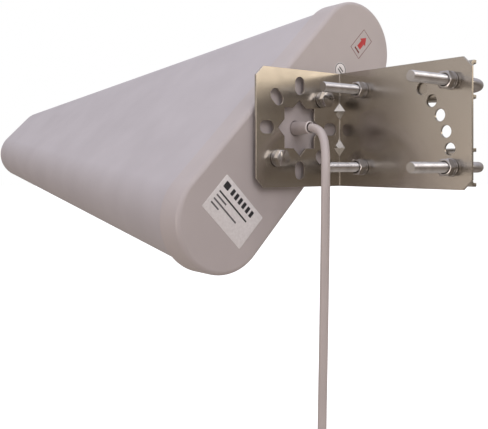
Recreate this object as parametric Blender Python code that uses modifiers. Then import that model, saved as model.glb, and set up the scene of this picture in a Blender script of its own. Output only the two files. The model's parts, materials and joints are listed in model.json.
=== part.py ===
"""Log-periodic panel antenna in a wedge radome, with its mast bracket, clamps and pigtail.

Metres, +Z up along the mast. The origin is the mast's axis at the bracket's middle, +X is the
direction the antenna looks in, and +Y is the side of the bracket that the nuts are on.
"""

import math

import bmesh
import bpy
from mathutils import Matrix, Vector

# ---- driving dimensions -------------------------------------------------------------
GAP = 0.0003  # clearance between pieces that touch
HALF_TURN = math.pi
ROLL = math.radians(45)  # slant of the antenna about its own axis

# mast clamp
MAST_R = 0.0190  # 38 mm mast, the size the clamps rest at
V_HALF_ANGLE = math.radians(65)
CLAMP_Z = 0.0231  # height of each clamp from the bracket's middle
LEG_X = 0.0316  # half the distance between a U-bolt's legs
LEG_R = 0.003
LEG_OUT = 0.033  # length of a leg beyond the bracket's face
SADDLE_H = 0.0203
SADDLE_HALF_L = 0.0428
SADDLE_SHEET = 0.002
SADDLE_DEPTH = 0.0170
SADDLE_TIP_X = 0.0305
SADDLE_TEETH = 10
TOOTH_DEPTH = 0.0012

# angle bracket
SHEET = 0.0015
BRACKET_H = 0.070
FACE_Y = 0.0240  # face of the wing that is clamped to the mast
FOLD_X = 0.0510  # face of the wing that carries the antenna
MAST_WING_L = 0.0955
ANTENNA_WING_L = 0.0663
CORNER_CUT = 0.0054
FOLD_R = 0.0022
HUB_Y = FACE_Y + 0.0331  # the antenna's axis
STAR_R = 0.0169
SLOT_PITCH_R = 0.0252
SLOT_L = 0.0106
SLOT_W = 0.0074
LEG_SLOT_L = 0.0086
LEG_SLOT_W = 0.0070
TILT_X = 0.0268  # middle of the tilt holes' arc, level with the lower clamp
TILT_R = 0.0585
TILT_HOLE_R = 0.0034
TILT_STEP = math.radians(9.6)
GUSSET_Z = 0.0114

# M6 hardware
THREAD_HOLE_R = 0.0033
HEX_ACROSS = 0.009
NUT_H = 0.0034
HEAD_H = 0.0035
WASHER_R = 0.0050
WASHER_H = 0.0010
SPRING_R = 0.0047

# antenna housing
COVER_X = 0.0547  # rear face of the cover
COVER_L = 0.0186
COVER_WALL = 0.0018
COVER_HALF_W = 0.105
COVER_HALF_T = 0.031
COVER_EDGE = 0.0026
RADOME_STEP = COVER_WALL + GAP
RADOME_WALL = 0.0022
NOSE_X = COVER_X + 0.434
NOSE_HALF_W = 0.039
NOSE_HALF_T = 0.0237
NOSE_EDGE = 0.0087
SPIGOT_L = 0.0136
BOSS_R = 0.0085
GASKET_W = 0.0022
INNER_SHEET = 0.0025  # bracket inside the housing
INNER_HALF_L = 0.034
INNER_HALF_W = 0.011
INNER_HOLE_R = 0.0075

# log-periodic array
DIPOLES = 8
DIPOLE_RATIO = 0.84  # each dipole against the one behind it
FIRST_DIPOLE_X = 0.0952
LONGEST_HALF = 0.094
APEX_X = 0.6052
ROD_R = 0.0022
BOOM = 0.010
BOOM_WALL = 0.001
BOOM_GAP = 0.003
BOOM_START_X = 0.0812
BOOM_END_X = 0.4652

# cable and plug
CABLE_R = 0.0025
GLAND_BASE_R = 0.0044
GLAND_TIP_R = 0.0034
GLAND_END_X = 0.0418
ROUTE = (
    (0.0415, 0.0571, 0.0),
    (0.0377, 0.0572, -0.0006),
    (0.0322, 0.0580, -0.0032),
    (0.0272, 0.0601, -0.0084),
    (0.0233, 0.0628, -0.0160),
    (0.0210, 0.0649, -0.0260),
    (0.0202, 0.0658, -0.0400),
    (0.0202, 0.0661, -0.0600),
    (0.0207, 0.0662, -0.0900),
    (0.0216, 0.0661, -0.1250),
    (0.0226, 0.0660, -0.1600),
    (0.0233, 0.0660, -0.2000),
    (0.0236, 0.0660, -0.2400),
    (0.0236, 0.0660, -0.2760),
)

for old in list(bpy.data.objects):
    bpy.data.objects.remove(old, do_unlink=True)
antenna = bpy.data.collections.new("yagi_antenna")
cutters = bpy.data.collections.new("cutters")
bpy.context.scene.collection.children.link(antenna)
bpy.context.scene.collection.children.link(cutters)


# ---- making and finishing pieces ----------------------------------------------------
def linear(channel):
    """An sRGB channel, 0 to 1, as linear light."""
    return channel / 12.92 if channel <= 0.04045 else ((channel + 0.055) / 1.055) ** 2.4


def material(name, colour, roughness, metallic=0.0):
    made = bpy.data.materials.new(name)
    made.use_nodes = True
    shader = made.node_tree.nodes["Principled BSDF"]
    rgb = [linear(int(colour[i : i + 2], 16) / 255) for i in (0, 2, 4)]
    shader.inputs["Base Color"].default_value = (*rgb, 1)
    shader.inputs["Roughness"].default_value = roughness
    shader.inputs["Metallic"].default_value = metallic
    return made


RADOME_ABS = material("radome_abs", "BDB5B6", 0.35)
COVER_ABS = material("cover_abs", "A89C98", 0.4)
SATIN_STEEL = material("satin_stainless", "B5A99A", 0.32, 1.0)
BOLT_STEEL = material("bolt_stainless", "A8A5A2", 0.22, 1.0)
RUBBER = material("seal_rubber", "2A2A2A", 0.8)
CABLE_PVC = material("cable_pvc", "B8AFAC", 0.45)
NICKEL = material("nickel_plate", "B9B4AA", 0.2, 1.0)
PTFE = material("ptfe", "E8E6E0", 0.5)
BRASS = material("gold_plated_brass", "C9A24B", 0.25, 1.0)
ALUMINIUM = material("aluminium", "C2C4C6", 0.35, 1.0)
SHRINK = material("heat_shrink", "1C1C1E", 0.6)


def finish(obj, surface, collection=antenna):
    """Links an object, gives it its material and hides it from renders if it is a cutter."""
    collection.objects.link(obj)
    if collection is cutters:
        obj.hide_render = True
        obj.display_type = "WIRE"
        return obj
    obj.data.materials.clear()
    obj.data.materials.append(surface)
    return obj


def facing(direction, place):
    """Turns +Z to direction and moves the origin to place."""
    turn = Vector((0, 0, 1)).rotation_difference(Vector(direction)).to_matrix().to_4x4()
    return Matrix.Translation(Vector(place)) @ turn


def flat_piece(name, outlines, low, high, frame, surface, collection=antenna):
    """A sheet cut to closed outlines, inner ones being holes, from low to high along frame's Z."""
    curve = bpy.data.curves.new(name, "CURVE")
    curve.dimensions = "2D"
    curve.fill_mode = "BOTH"
    curve.extrude = (high - low) / 2
    for outline in outlines:
        spline = curve.splines.new("POLY")
        spline.points.add(len(outline) - 1)
        for point, (x, y) in zip(spline.points, outline):
            point.co = (x, y, 0, 1)
        spline.use_cyclic_u = True
    obj = finish(bpy.data.objects.new(name, curve), surface, collection)
    obj.matrix_world = frame @ Matrix.Translation((0, 0, (low + high) / 2))
    return obj


def as_mesh(obj, surface, collection=antenna):
    """The same piece as a welded mesh, so that it can be cut or joined."""
    bpy.context.view_layer.update()
    evaluated = obj.evaluated_get(bpy.context.evaluated_depsgraph_get())
    mesh = bpy.data.meshes.new_from_object(evaluated)
    name, place = obj.name, obj.matrix_world.copy()
    bpy.data.objects.remove(obj)
    shape = bmesh.new()
    shape.from_mesh(mesh)
    bmesh.ops.remove_doubles(shape, verts=shape.verts, dist=1e-6)
    bmesh.ops.recalc_face_normals(shape, faces=shape.faces)
    shape.to_mesh(mesh)
    shape.free()
    made = finish(bpy.data.objects.new(name, mesh), surface, collection)
    made.matrix_world = place
    return made


def solid(name, shape, surface, collection=antenna):
    """An object from a closed bmesh."""
    bmesh.ops.recalc_face_normals(shape, faces=shape.faces)
    mesh = bpy.data.meshes.new(name)
    shape.to_mesh(mesh)
    shape.free()
    return finish(bpy.data.objects.new(name, mesh), surface, collection)


def turned(name, profile, frame, surface, steps=24, collection=antenna):
    """A closed profile of (radius, height) points, clockwise, turned about frame's Z."""
    shape = bmesh.new()
    points = [shape.verts.new((radius, 0, height)) for radius, height in profile]
    for first, second in zip(points, points[1:] + points[:1]):
        if first.co.x > 0 or second.co.x > 0:
            shape.edges.new((first, second))
    mesh = bpy.data.meshes.new(name)
    shape.to_mesh(mesh)
    shape.free()
    obj = finish(bpy.data.objects.new(name, mesh), surface, collection)
    screw = obj.modifiers.new("turn", "SCREW")
    screw.steps = screw.render_steps = steps
    screw.use_merge_vertices = True
    screw.merge_threshold = 1e-6
    obj.matrix_world = frame
    if collection is antenna:
        mesh.shade_smooth()
    return obj


def tube(name, points, radius, surface, resolution=2):
    """A round bar along a path."""
    curve = bpy.data.curves.new(name, "CURVE")
    curve.dimensions = "3D"
    curve.bevel_depth = radius
    curve.bevel_resolution = resolution
    curve.use_fill_caps = True
    spline = curve.splines.new("POLY")
    spline.points.add(len(points) - 1)
    for point, place in zip(spline.points, points):
        point.co = (*place, 1)
    spline.use_smooth = True
    return finish(bpy.data.objects.new(name, curve), surface)


def cut(target, tool, operation="DIFFERENCE"):
    change = target.modifiers.new(tool.name, "BOOLEAN")
    change.object = tool
    change.operation = operation
    change.solver = "EXACT"


# ---- outlines -----------------------------------------------------------------------
def circle(radius, centre=(0, 0), sides=20):
    turn = 2 * math.pi / sides
    return [
        (centre[0] + radius * math.cos(turn * i), centre[1] + radius * math.sin(turn * i))
        for i in range(sides)
    ]


def hexagon(across):
    return circle(across / math.sqrt(3), sides=6)


def slot(centre, length, width, angle, steps=8):
    """A round-ended slot whose length runs at angle."""
    reach = (length - width) / 2
    points = []
    for end in (0, HALF_TURN):
        for i in range(steps + 1):
            a = end - HALF_TURN / 2 + HALF_TURN * i / steps
            x = math.cos(end) * reach + math.cos(a) * width / 2
            y = math.sin(a) * width / 2
            points.append(
                (
                    centre[0] + x * math.cos(angle) - y * math.sin(angle),
                    centre[1] + x * math.sin(angle) + y * math.cos(angle),
                )
            )
    return points


def split_ring(outer, inner, steps=16):
    """A spring washer: a ring with a slit."""
    slit = math.radians(7)
    sweep = [slit + (2 * math.pi - 2 * slit) * i / steps for i in range(steps + 1)]
    outside = [(outer * math.cos(a), outer * math.sin(a)) for a in sweep]
    inside = [(inner * math.cos(a), inner * math.sin(a)) for a in reversed(sweep)]
    return outside + inside


def capsule(half_width, half_thick, steps=12):
    """The housing's section: straight sides and round ends, its width rolled by ROLL."""
    straight = half_width - half_thick
    points = []
    for side in (1, -1):
        for i in range(steps + 1):
            a = -HALF_TURN / 2 + HALF_TURN * i / steps
            across = side * (straight + half_thick * math.cos(a))
            through = side * half_thick * math.sin(a)
            points.append(housing_yz(across, through))
    return points


def housing_yz(across, through):
    """Y and Z of a point across the antenna's width and through its thickness."""
    y = HUB_Y - across * math.cos(ROLL) + through * math.sin(ROLL)
    z = across * math.sin(ROLL) + through * math.cos(ROLL)
    return y, z


# ---- bracket ------------------------------------------------------------------------
ALONG_Z = Matrix.Identity(4)
# frame of a section across the antenna: Y, Z, and out of it X
ACROSS = Matrix(((0, 0, 1, 0), (1, 0, 0, 0), (0, 1, 0, 0), (0, 0, 0, 1)))
# frame of the antenna wing: across it is Y, up is Z, and out of its back is X
ANTENNA_WING = Matrix(((0, 0, 1, FOLD_X), (1, 0, 0, HUB_Y), (0, 1, 0, 0), (0, 0, 0, 1)))
# frame of the mast wing: along it is X, up is Z, and towards the mast is -Y
MAST_WING = Matrix(((1, 0, 0, 0), (0, 0, -1, FACE_Y), (0, 1, 0, 0), (0, 0, 0, 1)))


def angle_section():
    """The bracket seen from above: two wings and the rounded fold."""
    end_x = FOLD_X - MAST_WING_L
    end_y = FACE_Y + ANTENNA_WING_L
    corner = (FOLD_X - FOLD_R, FACE_Y + FOLD_R)
    points = [(end_x, FACE_Y), (end_x, FACE_Y - SHEET)]
    for i in range(7):
        a = -HALF_TURN / 2 + HALF_TURN / 2 * i / 6
        reach = FOLD_R + SHEET
        points.append((corner[0] + reach * math.cos(a), corner[1] + reach * math.sin(a)))
    points += [(FOLD_X + SHEET, end_y), (FOLD_X, end_y)]
    for i in range(5):
        a = -HALF_TURN / 2 * i / 4
        points.append((corner[0] + FOLD_R * math.cos(a), corner[1] + FOLD_R * math.sin(a)))
    return points


def corner_cuts(end, direction):
    """Triangles that take the two outer corners off a wing that ends at end."""
    half = BRACKET_H / 2
    margin = 0.002
    cuts = []
    for side in (1, -1):
        cuts.append(
            [
                (end - direction * (CORNER_CUT + margin), side * (half + margin)),
                (end + direction * margin, side * (half + margin)),
                (end + direction * margin, side * (half - CORNER_CUT - margin)),
            ]
        )
    return cuts


def star(radius):
    """Two squares laid over each other at 45 degrees."""
    inner = radius * math.cos(HALF_TURN / 4) / math.cos(HALF_TURN / 8)
    points = []
    for i in range(16):
        reach = radius if i % 2 == 0 else inner
        a = HALF_TURN / 8 * i
        points.append((reach * math.cos(a), reach * math.sin(a)))
    return points


def gusset(z):
    """A diamond pressed across the fold to stiffen it."""
    half_height = 0.0066
    reach = 0.0056
    root = 0.0012
    shape = bmesh.new()
    for x, y, dz in (
        (root, -root, half_height),
        (root, -root, -half_height),
        (root, reach, 0),
        (-reach, -root, 0),
        (root, -root, 0),
    ):
        shape.verts.new((FOLD_X + x, FACE_Y + y, z + dz))
    bmesh.ops.convex_hull(shape, input=shape.verts)
    loose = [v for v in shape.verts if not v.link_faces]
    bmesh.ops.delete(shape, geom=loose, context="VERTS")
    return solid("gusset_form", shape, None, cutters)


def mount_bracket():
    half = BRACKET_H / 2
    body = flat_piece("mount_bracket", [angle_section()], -half, half, ALONG_Z, SATIN_STEEL)
    body = as_mesh(body, SATIN_STEEL)
    for z in (GUSSET_Z, -GUSSET_Z):
        cut(body, gusset(z), "UNION")
    holes = [star(STAR_R)]
    for i in range(8):
        a = HALF_TURN / 4 * i
        centre = (SLOT_PITCH_R * math.cos(a), SLOT_PITCH_R * math.sin(a))
        holes.append(slot(centre, SLOT_L, SLOT_W, a))
    holes += corner_cuts(FACE_Y + ANTENNA_WING_L - HUB_Y, 1)
    depth = 2 * SHEET
    form = flat_piece("antenna_wing_cuts", holes, -SHEET, depth, ANTENNA_WING, None, cutters)
    cut(body, as_mesh(form, None, cutters))
    holes = []
    for x in (LEG_X, -LEG_X):
        for z in (CLAMP_Z, -CLAMP_Z):
            holes.append(slot((x, z), LEG_SLOT_L, LEG_SLOT_W, 0))
    for i in range(5):
        a = TILT_STEP * (i + 1)
        centre = (TILT_X - TILT_R * math.cos(a), -CLAMP_Z + TILT_R * math.sin(a))
        holes.append(circle(TILT_HOLE_R, centre))
    holes += corner_cuts(FOLD_X - MAST_WING_L, -1)
    form = flat_piece("mast_wing_cuts", holes, -SHEET, depth, MAST_WING, None, cutters)
    cut(body, as_mesh(form, None, cutters))


# ---- mast clamps --------------------------------------------------------------------
def saddle_notch():
    """What a saddle's flanges leave open: along it is X, and away from the bracket is +Y."""
    apex = FACE_Y - SHEET - GAP - MAST_R / math.sin(V_HALF_ANGLE)
    rise = 1 / math.tan(V_HALF_ANGLE)
    bottom_x = 0.0035
    tooth = (SADDLE_TIP_X - bottom_x) / SADDLE_TEETH
    edge = []
    for i in range(SADDLE_TEETH):
        crest_x = SADDLE_TIP_X - tooth * i
        edge.append((crest_x, apex + crest_x * rise))
        root_x = crest_x - tooth / 2
        edge.append((root_x, apex + root_x * rise - TOOTH_DEPTH))
    edge.append((bottom_x, apex + bottom_x * rise))
    edge.append((bottom_x - 0.001, apex + bottom_x * rise - TOOTH_DEPTH / 2))
    beyond = (SADDLE_HALF_L + 0.001, SADDLE_SHEET + 0.001)
    half = [(beyond[0], SADDLE_DEPTH + 0.002), beyond] + edge
    return half + [(-x, y) for x, y in reversed(half)]


def saddle(name, z):
    """A channel that lies on the bracket's back and grips the mast with its toothed flanges."""
    half = SADDLE_H / 2
    bend = SADDLE_SHEET
    section = [(0, half - bend / 2), (0, -half + bend / 2)]
    section += [(bend / 2, -half), (SADDLE_DEPTH, -half), (SADDLE_DEPTH, -half + SADDLE_SHEET)]
    section += [(SADDLE_SHEET, -half + SADDLE_SHEET), (SADDLE_SHEET, half - SADDLE_SHEET)]
    section += [(SADDLE_DEPTH, half - SADDLE_SHEET), (SADDLE_DEPTH, half), (bend / 2, half)]
    back_y = FACE_Y - SHEET - GAP
    channel = Matrix(((0, 0, 1, 0), (-1, 0, 0, back_y), (0, -1, 0, z), (0, 0, 0, 1)))
    body = flat_piece(name, [section], -SADDLE_HALF_L, SADDLE_HALF_L, channel, SATIN_STEEL)
    body = as_mesh(body, SATIN_STEEL)
    above = Matrix(((1, 0, 0, 0), (0, -1, 0, back_y), (0, 0, -1, z), (0, 0, 0, 1)))
    form = flat_piece("notch_form", [saddle_notch()], -half * 2, half * 2, above, None, cutters)
    cut(body, as_mesh(form, None, cutters))
    holes = [circle(THREAD_HOLE_R + GAP, (x, z), 16) for x in (LEG_X, -LEG_X)]
    depth = 2 * SADDLE_SHEET
    form = flat_piece("leg_hole_form", holes, 0, SHEET + depth, MAST_WING, None, cutters)
    cut(body, as_mesh(form, None, cutters))


def u_bolt(name, z):
    back = -MAST_R - GAP - LEG_R
    bend_y = back + LEG_X
    points = [(LEG_X, FACE_Y + LEG_OUT, z)]
    arc = 14
    for i in range(arc + 1):
        a = HALF_TURN * i / arc
        points.append((LEG_X * math.cos(a), bend_y - LEG_X * math.sin(a), z))
    points.append((-LEG_X, FACE_Y + LEG_OUT, z))
    tube(name, points, LEG_R, BOLT_STEEL, 4)


def clamp_stack(name, x, z):
    """Flat washer, spring washer and nut on one leg, outwards from the bracket's face."""
    frame = facing((0, 1, 0), (x, FACE_Y + GAP, z))
    bore = circle(THREAD_HOLE_R, sides=16)
    height = WASHER_H
    flat_piece(name + "_flat_washer", [circle(WASHER_R), bore], 0, height, frame, BOLT_STEEL)
    low = height + GAP
    ring = split_ring(SPRING_R, THREAD_HOLE_R)
    flat_piece(name + "_spring_washer", [ring], low, low + WASHER_H, frame, BOLT_STEEL)
    low += WASHER_H + GAP
    hexagon_and_bore = [hexagon(HEX_ACROSS), bore]
    flat_piece(name + "_nut", hexagon_and_bore, low, low + NUT_H, frame, BOLT_STEEL)


# ---- housing ------------------------------------------------------------------------
def loft(shape, sections):
    """Skins sections of (x, half width, half thickness) and caps the last one."""
    rings = []
    for x, half_width, half_thick in sections:
        ring = [shape.verts.new((x, y, z)) for y, z in capsule(half_width, half_thick)]
        rings.append(ring)
    for near, far in zip(rings, rings[1:]):
        for i in range(len(near)):
            j = (i + 1) % len(near)
            shape.faces.new((near[i], near[j], far[j], far[i]))
    shape.faces.new(rings[-1])


def shell(name, sections, wall, surface):
    """An open lofted skin with a wall of even thickness inside it."""
    shape = bmesh.new()
    loft(shape, sections)
    obj = solid(name, shape, surface)
    inside = obj.modifiers.new("wall", "SOLIDIFY")
    inside.thickness = wall
    inside.offset = -1
    inside.use_even_offset = True
    return obj


def rounded_end(x, half_width, half_thick, edge, direction, steps=4):
    """Sections round an edge that ends at x."""
    rows = []
    for i in range(steps + 1):
        a = HALF_TURN / 2 * i / steps
        inset = edge * (1 - math.cos(a))
        along = x - direction * edge * (1 - math.sin(a))
        rows.append((along, half_width - inset, half_thick - inset))
    return rows


def radome():
    front = COVER_X + COVER_L
    width = COVER_HALF_W - RADOME_STEP
    thick = COVER_HALF_T - RADOME_STEP
    sections = [(front - SPIGOT_L, width, thick), (front, width, thick)]
    sections += rounded_end(NOSE_X, NOSE_HALF_W, NOSE_HALF_T, NOSE_EDGE, 1)
    shell("radome", sections, RADOME_WALL, RADOME_ABS)


def bolt_places():
    """Y and Z of the two bolts that hold the housing, on its width."""
    return {"upper": housing_yz(SLOT_PITCH_R, 0), "lower": housing_yz(-SLOT_PITCH_R, 0)}


def rear_cover():
    front = COVER_X + COVER_L
    sections = [(front, COVER_HALF_W, COVER_HALF_T)]
    sections += rounded_end(COVER_X, COVER_HALF_W, COVER_HALF_T, COVER_EDGE, -1, 3)
    cover = shell("rear_cover", sections, COVER_WALL, COVER_ABS)
    bolts = list(bolt_places().values())
    bosses = [circle(BOSS_R, centre, 24) for centre in bolts]
    boss_x = FOLD_X + SHEET + GAP
    form = flat_piece("boss_form", bosses, boss_x, COVER_X + 0.001, ACROSS, None, cutters)
    cut(cover, as_mesh(form, None, cutters), "UNION")
    holes = [circle(THREAD_HOLE_R, centre, 16) for centre in bolts]
    holes.append(circle(GLAND_BASE_R + GAP, (HUB_Y, 0), 16))
    low, high = COVER_X - 0.006, COVER_X + 0.006
    form = flat_piece("hole_form", holes, low, high, ACROSS, None, cutters)
    cut(cover, as_mesh(form, None, cutters))


def cover_gasket():
    low = COVER_X + COVER_WALL + GAP
    high = COVER_X + COVER_L - SPIGOT_L - GAP
    width = COVER_HALF_W - RADOME_STEP
    thick = COVER_HALF_T - RADOME_STEP
    outlines = [capsule(width, thick), capsule(width - GASKET_W, thick - GASKET_W)]
    flat_piece("cover_gasket", outlines, low, high, ACROSS, RUBBER)


def cover_bolts():
    """Washers and hexagon bolts through the antenna wing's slots, and the nuts inside."""
    bore = circle(THREAD_HOLE_R, sides=16)
    inner_x = COVER_X + COVER_WALL + GAP
    shank_end = FOLD_X - inner_x - INNER_SHEET - NUT_H - 0.003
    for place, (y, z) in bolt_places().items():
        frame = facing((-1, 0, 0), (FOLD_X - GAP, y, z))
        outlines = [circle(WASHER_R), bore]
        flat_piece(f"{place}_cover_flat_washer", outlines, 0, WASHER_H, frame, BOLT_STEEL)
        low = WASHER_H + GAP
        ring = split_ring(SPRING_R, THREAD_HOLE_R)
        name = f"{place}_cover_spring_washer"
        flat_piece(name, [ring], low, low + WASHER_H, frame, BOLT_STEEL)
        low += WASHER_H + GAP
        name = f"{place}_cover_bolt"
        outline = [(b, a) for a, b in hexagon(HEX_ACROSS)]
        head = flat_piece(name, [outline], low, low + HEAD_H, frame, BOLT_STEEL)
        head = as_mesh(head, BOLT_STEEL)
        profile = [(0, low + 0.001), (LEG_R, low + 0.001), (LEG_R, shank_end), (0, shank_end)]
        cut(head, turned("shank_form", profile, frame, None, 16, cutters), "UNION")
        frame = facing((1, 0, 0), (inner_x + INNER_SHEET + GAP, y, z))
        name = f"{place}_housing_nut"
        flat_piece(name, [hexagon(HEX_ACROSS), bore], 0, NUT_H, frame, BOLT_STEEL)
    plate = [
        housing_yz(a, t)
        for a, t in (
            (INNER_HALF_L, INNER_HALF_W),
            (INNER_HALF_L, -INNER_HALF_W),
            (-INNER_HALF_L, -INNER_HALF_W),
            (-INNER_HALF_L, INNER_HALF_W),
        )
    ]
    holes = [circle(THREAD_HOLE_R, yz, 16) for yz in bolt_places().values()]
    holes.append(circle(INNER_HOLE_R, (HUB_Y, 0)))
    outlines = [plate] + holes
    high = inner_x + INNER_SHEET
    flat_piece("inner_bracket", outlines, inner_x, high, ACROSS, ALUMINIUM)


# ---- log-periodic array -------------------------------------------------------------
def boom_through(side):
    """Distance of a boom's middle through the antenna's thickness."""
    return side * (BOOM + BOOM_GAP) / 2


def square(middle_through, half):
    return [
        housing_yz(a * half, middle_through + t * half)
        for a, t in ((1, 1), (1, -1), (-1, -1), (-1, 1))
    ]


def block(name, low_x, high_x, half_across, through, surface):
    """A block from low_x to high_x, between two distances through the thickness."""
    corners = ((1, through[0]), (1, through[1]), (-1, through[1]), (-1, through[0]))
    outline = [housing_yz(a * half_across, t) for a, t in corners]
    return flat_piece(name, [outline], low_x, high_x, ACROSS, surface)


def array():
    for name, side in (("upper_boom", 1), ("lower_boom", -1)):
        middle = boom_through(side)
        outlines = [square(middle, BOOM / 2), square(middle, BOOM / 2 - BOOM_WALL)]
        flat_piece(name, outlines, BOOM_START_X, BOOM_END_X, ACROSS, ALUMINIUM)
    between = BOOM_GAP / 2 - GAP
    half = BOOM / 2
    block("rear_short", BOOM_START_X, BOOM_START_X + 0.006, half, (-between, between), ALUMINIUM)
    block("front_spacer", BOOM_END_X - 0.012, BOOM_END_X, half, (-between, between), PTFE)
    reach = BOOM + BOOM_GAP / 2
    low_x = BOOM_END_X + GAP
    block("feed_strip", low_x, low_x + 0.001, 0.003, (-reach / 2, reach), BRASS)
    for i in range(DIPOLES):
        x = APEX_X - (APEX_X - FIRST_DIPOLE_X) * DIPOLE_RATIO**i
        length = LONGEST_HALF * DIPOLE_RATIO**i
        for boom, side in (("upper", 1), ("lower", -1)):
            hand = side if i % 2 == 0 else -side
            start = BOOM / 2 + GAP
            y0, z0 = housing_yz(hand * start, boom_through(side))
            y1, z1 = housing_yz(hand * length, boom_through(side))
            shape = bmesh.new()
            bmesh.ops.create_cone(
                shape,
                segments=10,
                radius1=ROD_R,
                radius2=ROD_R,
                depth=length - start,
                cap_ends=True,
            )
            rod = solid(f"dipole_{i + 1}_{boom}", shape, ALUMINIUM)
            middle = (x, (y0 + y1) / 2, (z0 + z1) / 2)
            rod.matrix_world = facing((0, y1 - y0, z1 - z0), middle)


# ---- cable and plug -----------------------------------------------------------------
def smooth_path(route, count):
    """Points at even steps along a Catmull-Rom curve through the route's points."""
    ends = [2 * Vector(route[0]) - Vector(route[1]), 2 * Vector(route[-1]) - Vector(route[-2])]
    knots = [ends[0]] + [Vector(p) for p in route] + [ends[1]]
    fine = []
    per_span = 24
    for i in range(1, len(knots) - 2):
        a, b, c, d = knots[i - 1 : i + 3]
        for k in range(per_span):
            t = k / per_span
            fine.append(
                0.5
                * (
                    2 * b
                    + (c - a) * t
                    + (2 * a - 5 * b + 4 * c - d) * t * t
                    + (3 * b - a - 3 * c + d) * t**3
                )
            )
    fine.append(knots[-2])
    travelled = [0.0]
    for before, after in zip(fine, fine[1:]):
        travelled.append(travelled[-1] + (after - before).length)
    points = []
    k = 0
    for i in range(count):
        goal = travelled[-1] * i / (count - 1)
        while k < len(fine) - 2 and travelled[k + 1] < goal:
            k += 1
        share = (goal - travelled[k]) / (travelled[k + 1] - travelled[k])
        points.append(tuple(fine[k].lerp(fine[k + 1], share)))
    return points


def cable_gland():
    """A tapered sleeve with a lip at its mouth and a flange inside the cover."""
    inner_x = COVER_X + COVER_WALL + GAP
    out = FOLD_X - GLAND_END_X
    bore = CABLE_R + GAP
    wall = inner_x - FOLD_X
    profile = [
        (bore, out),
        (GLAND_TIP_R + 0.0004, out),
        (GLAND_TIP_R + 0.0004, out - 0.0010),
        (GLAND_TIP_R, out - 0.0012),
        (GLAND_BASE_R, -wall + 0.006),
        (GLAND_BASE_R, -wall),
        (0.0068, -wall),
        (0.0068, -wall - 0.0020),
        (bore, -wall - 0.0020),
    ]
    turned("cable_gland", profile, facing((-1, 0, 0), (FOLD_X, HUB_Y, 0)), CABLE_PVC)


def inner_coax():
    start_x = COVER_X + COVER_WALL + 0.0080
    y, z = housing_yz(0, boom_through(-1))
    route = [(start_x, HUB_Y, 0), (start_x + 0.002, HUB_Y, 0)]
    route += [(BOOM_START_X - 0.004, y, z), (BOOM_START_X, y, z), (BOOM_END_X - 0.001, y, z)]
    tube("inner_coax", route, CABLE_R - 0.0005, CABLE_PVC)


def plug():
    """Heat shrink, crimp ferrule and an N-type plug, downwards from the cable's end."""
    x, y, top = ROUTE[-1]
    frame = facing((0, 0, -1), (x, y, top - GAP))
    shrink_l = 0.018
    ferrule_l = 0.009
    profile = [(0, shrink_l), (0.0037, shrink_l), (0.0037, 0.004), (0.0029, 0), (0, 0)]
    turned("heat_shrink", profile, frame, SHRINK, 20)
    low = shrink_l + GAP
    high = low + ferrule_l
    profile = [(0, high), (0.0035, high), (0.0035, low), (0, low)]
    turned("crimp_ferrule", profile, frame, NICKEL, 20)
    low = high + GAP
    seat = low + 0.0095
    sleeve = seat + 0.0125
    profile = [
        (0.0040, sleeve),
        (0.0050, sleeve),
        (0.0050, seat),
        (0.0066, seat),
        (0.0066, seat - 0.0022),
        (0.0052, seat - 0.0022),
        (0.0052, low + 0.0055),
        (0.0072, low + 0.0055),
        (0.0072, low + 0.0008),
        (0.0064, low),
        (0, low),
        (0, low + 0.002),
        (0.0040, low + 0.002),
    ]
    turned("plug_body", profile, frame, NICKEL, 24)
    profile = [
        (0.0080, seat + 0.0150),
        (0.0100, seat + 0.0150),
        (0.0104, seat + 0.0144),
        (0.0104, seat - 0.0027),
        (0.0096, seat - 0.0037),
        (0.0058, seat - 0.0037),
        (0.0058, seat - 0.0025),
        (0.0080, seat - 0.0025),
    ]
    turned("coupling_nut", profile, frame, NICKEL, 24)
    low += 0.002 + GAP
    high = seat + 0.002
    profile = [(0.0012, high), (0.0037, high), (0.0037, low), (0.0012, low)]
    turned("plug_insulator", profile, frame, PTFE, 16)
    profile = [(0, seat + 0.0095), (0.0004, seat + 0.0095), (0.0008, seat + 0.0085)]
    profile += [(0.0008, low), (0, low)]
    turned("centre_pin", profile, frame, BRASS, 12)


mount_bracket()
for level, height in (("upper", CLAMP_Z), ("lower", -CLAMP_Z)):
    saddle(f"{level}_saddle", height)
    u_bolt(f"{level}_u_bolt", height)
    for side, leg in (("inner", LEG_X), ("outer", -LEG_X)):
        clamp_stack(f"{level}_{side}", leg, height)
radome()
rear_cover()
cover_gasket()
cover_bolts()
array()
cable_gland()
inner_coax()
tube("cable", smooth_path(ROUTE, 42), CABLE_R, CABLE_PVC)
plug()
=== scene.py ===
"""Looks of a log-periodic panel antenna and its mast bracket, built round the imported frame.

Metres, +Z up. The mast's axis is the origin's Z, +X is the way the antenna looks, and +Y is the
side of the bracket that the clamp nuts are on.
"""

import json
import math
import bmesh
import bpy
from mathutils import Matrix, Vector

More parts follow.
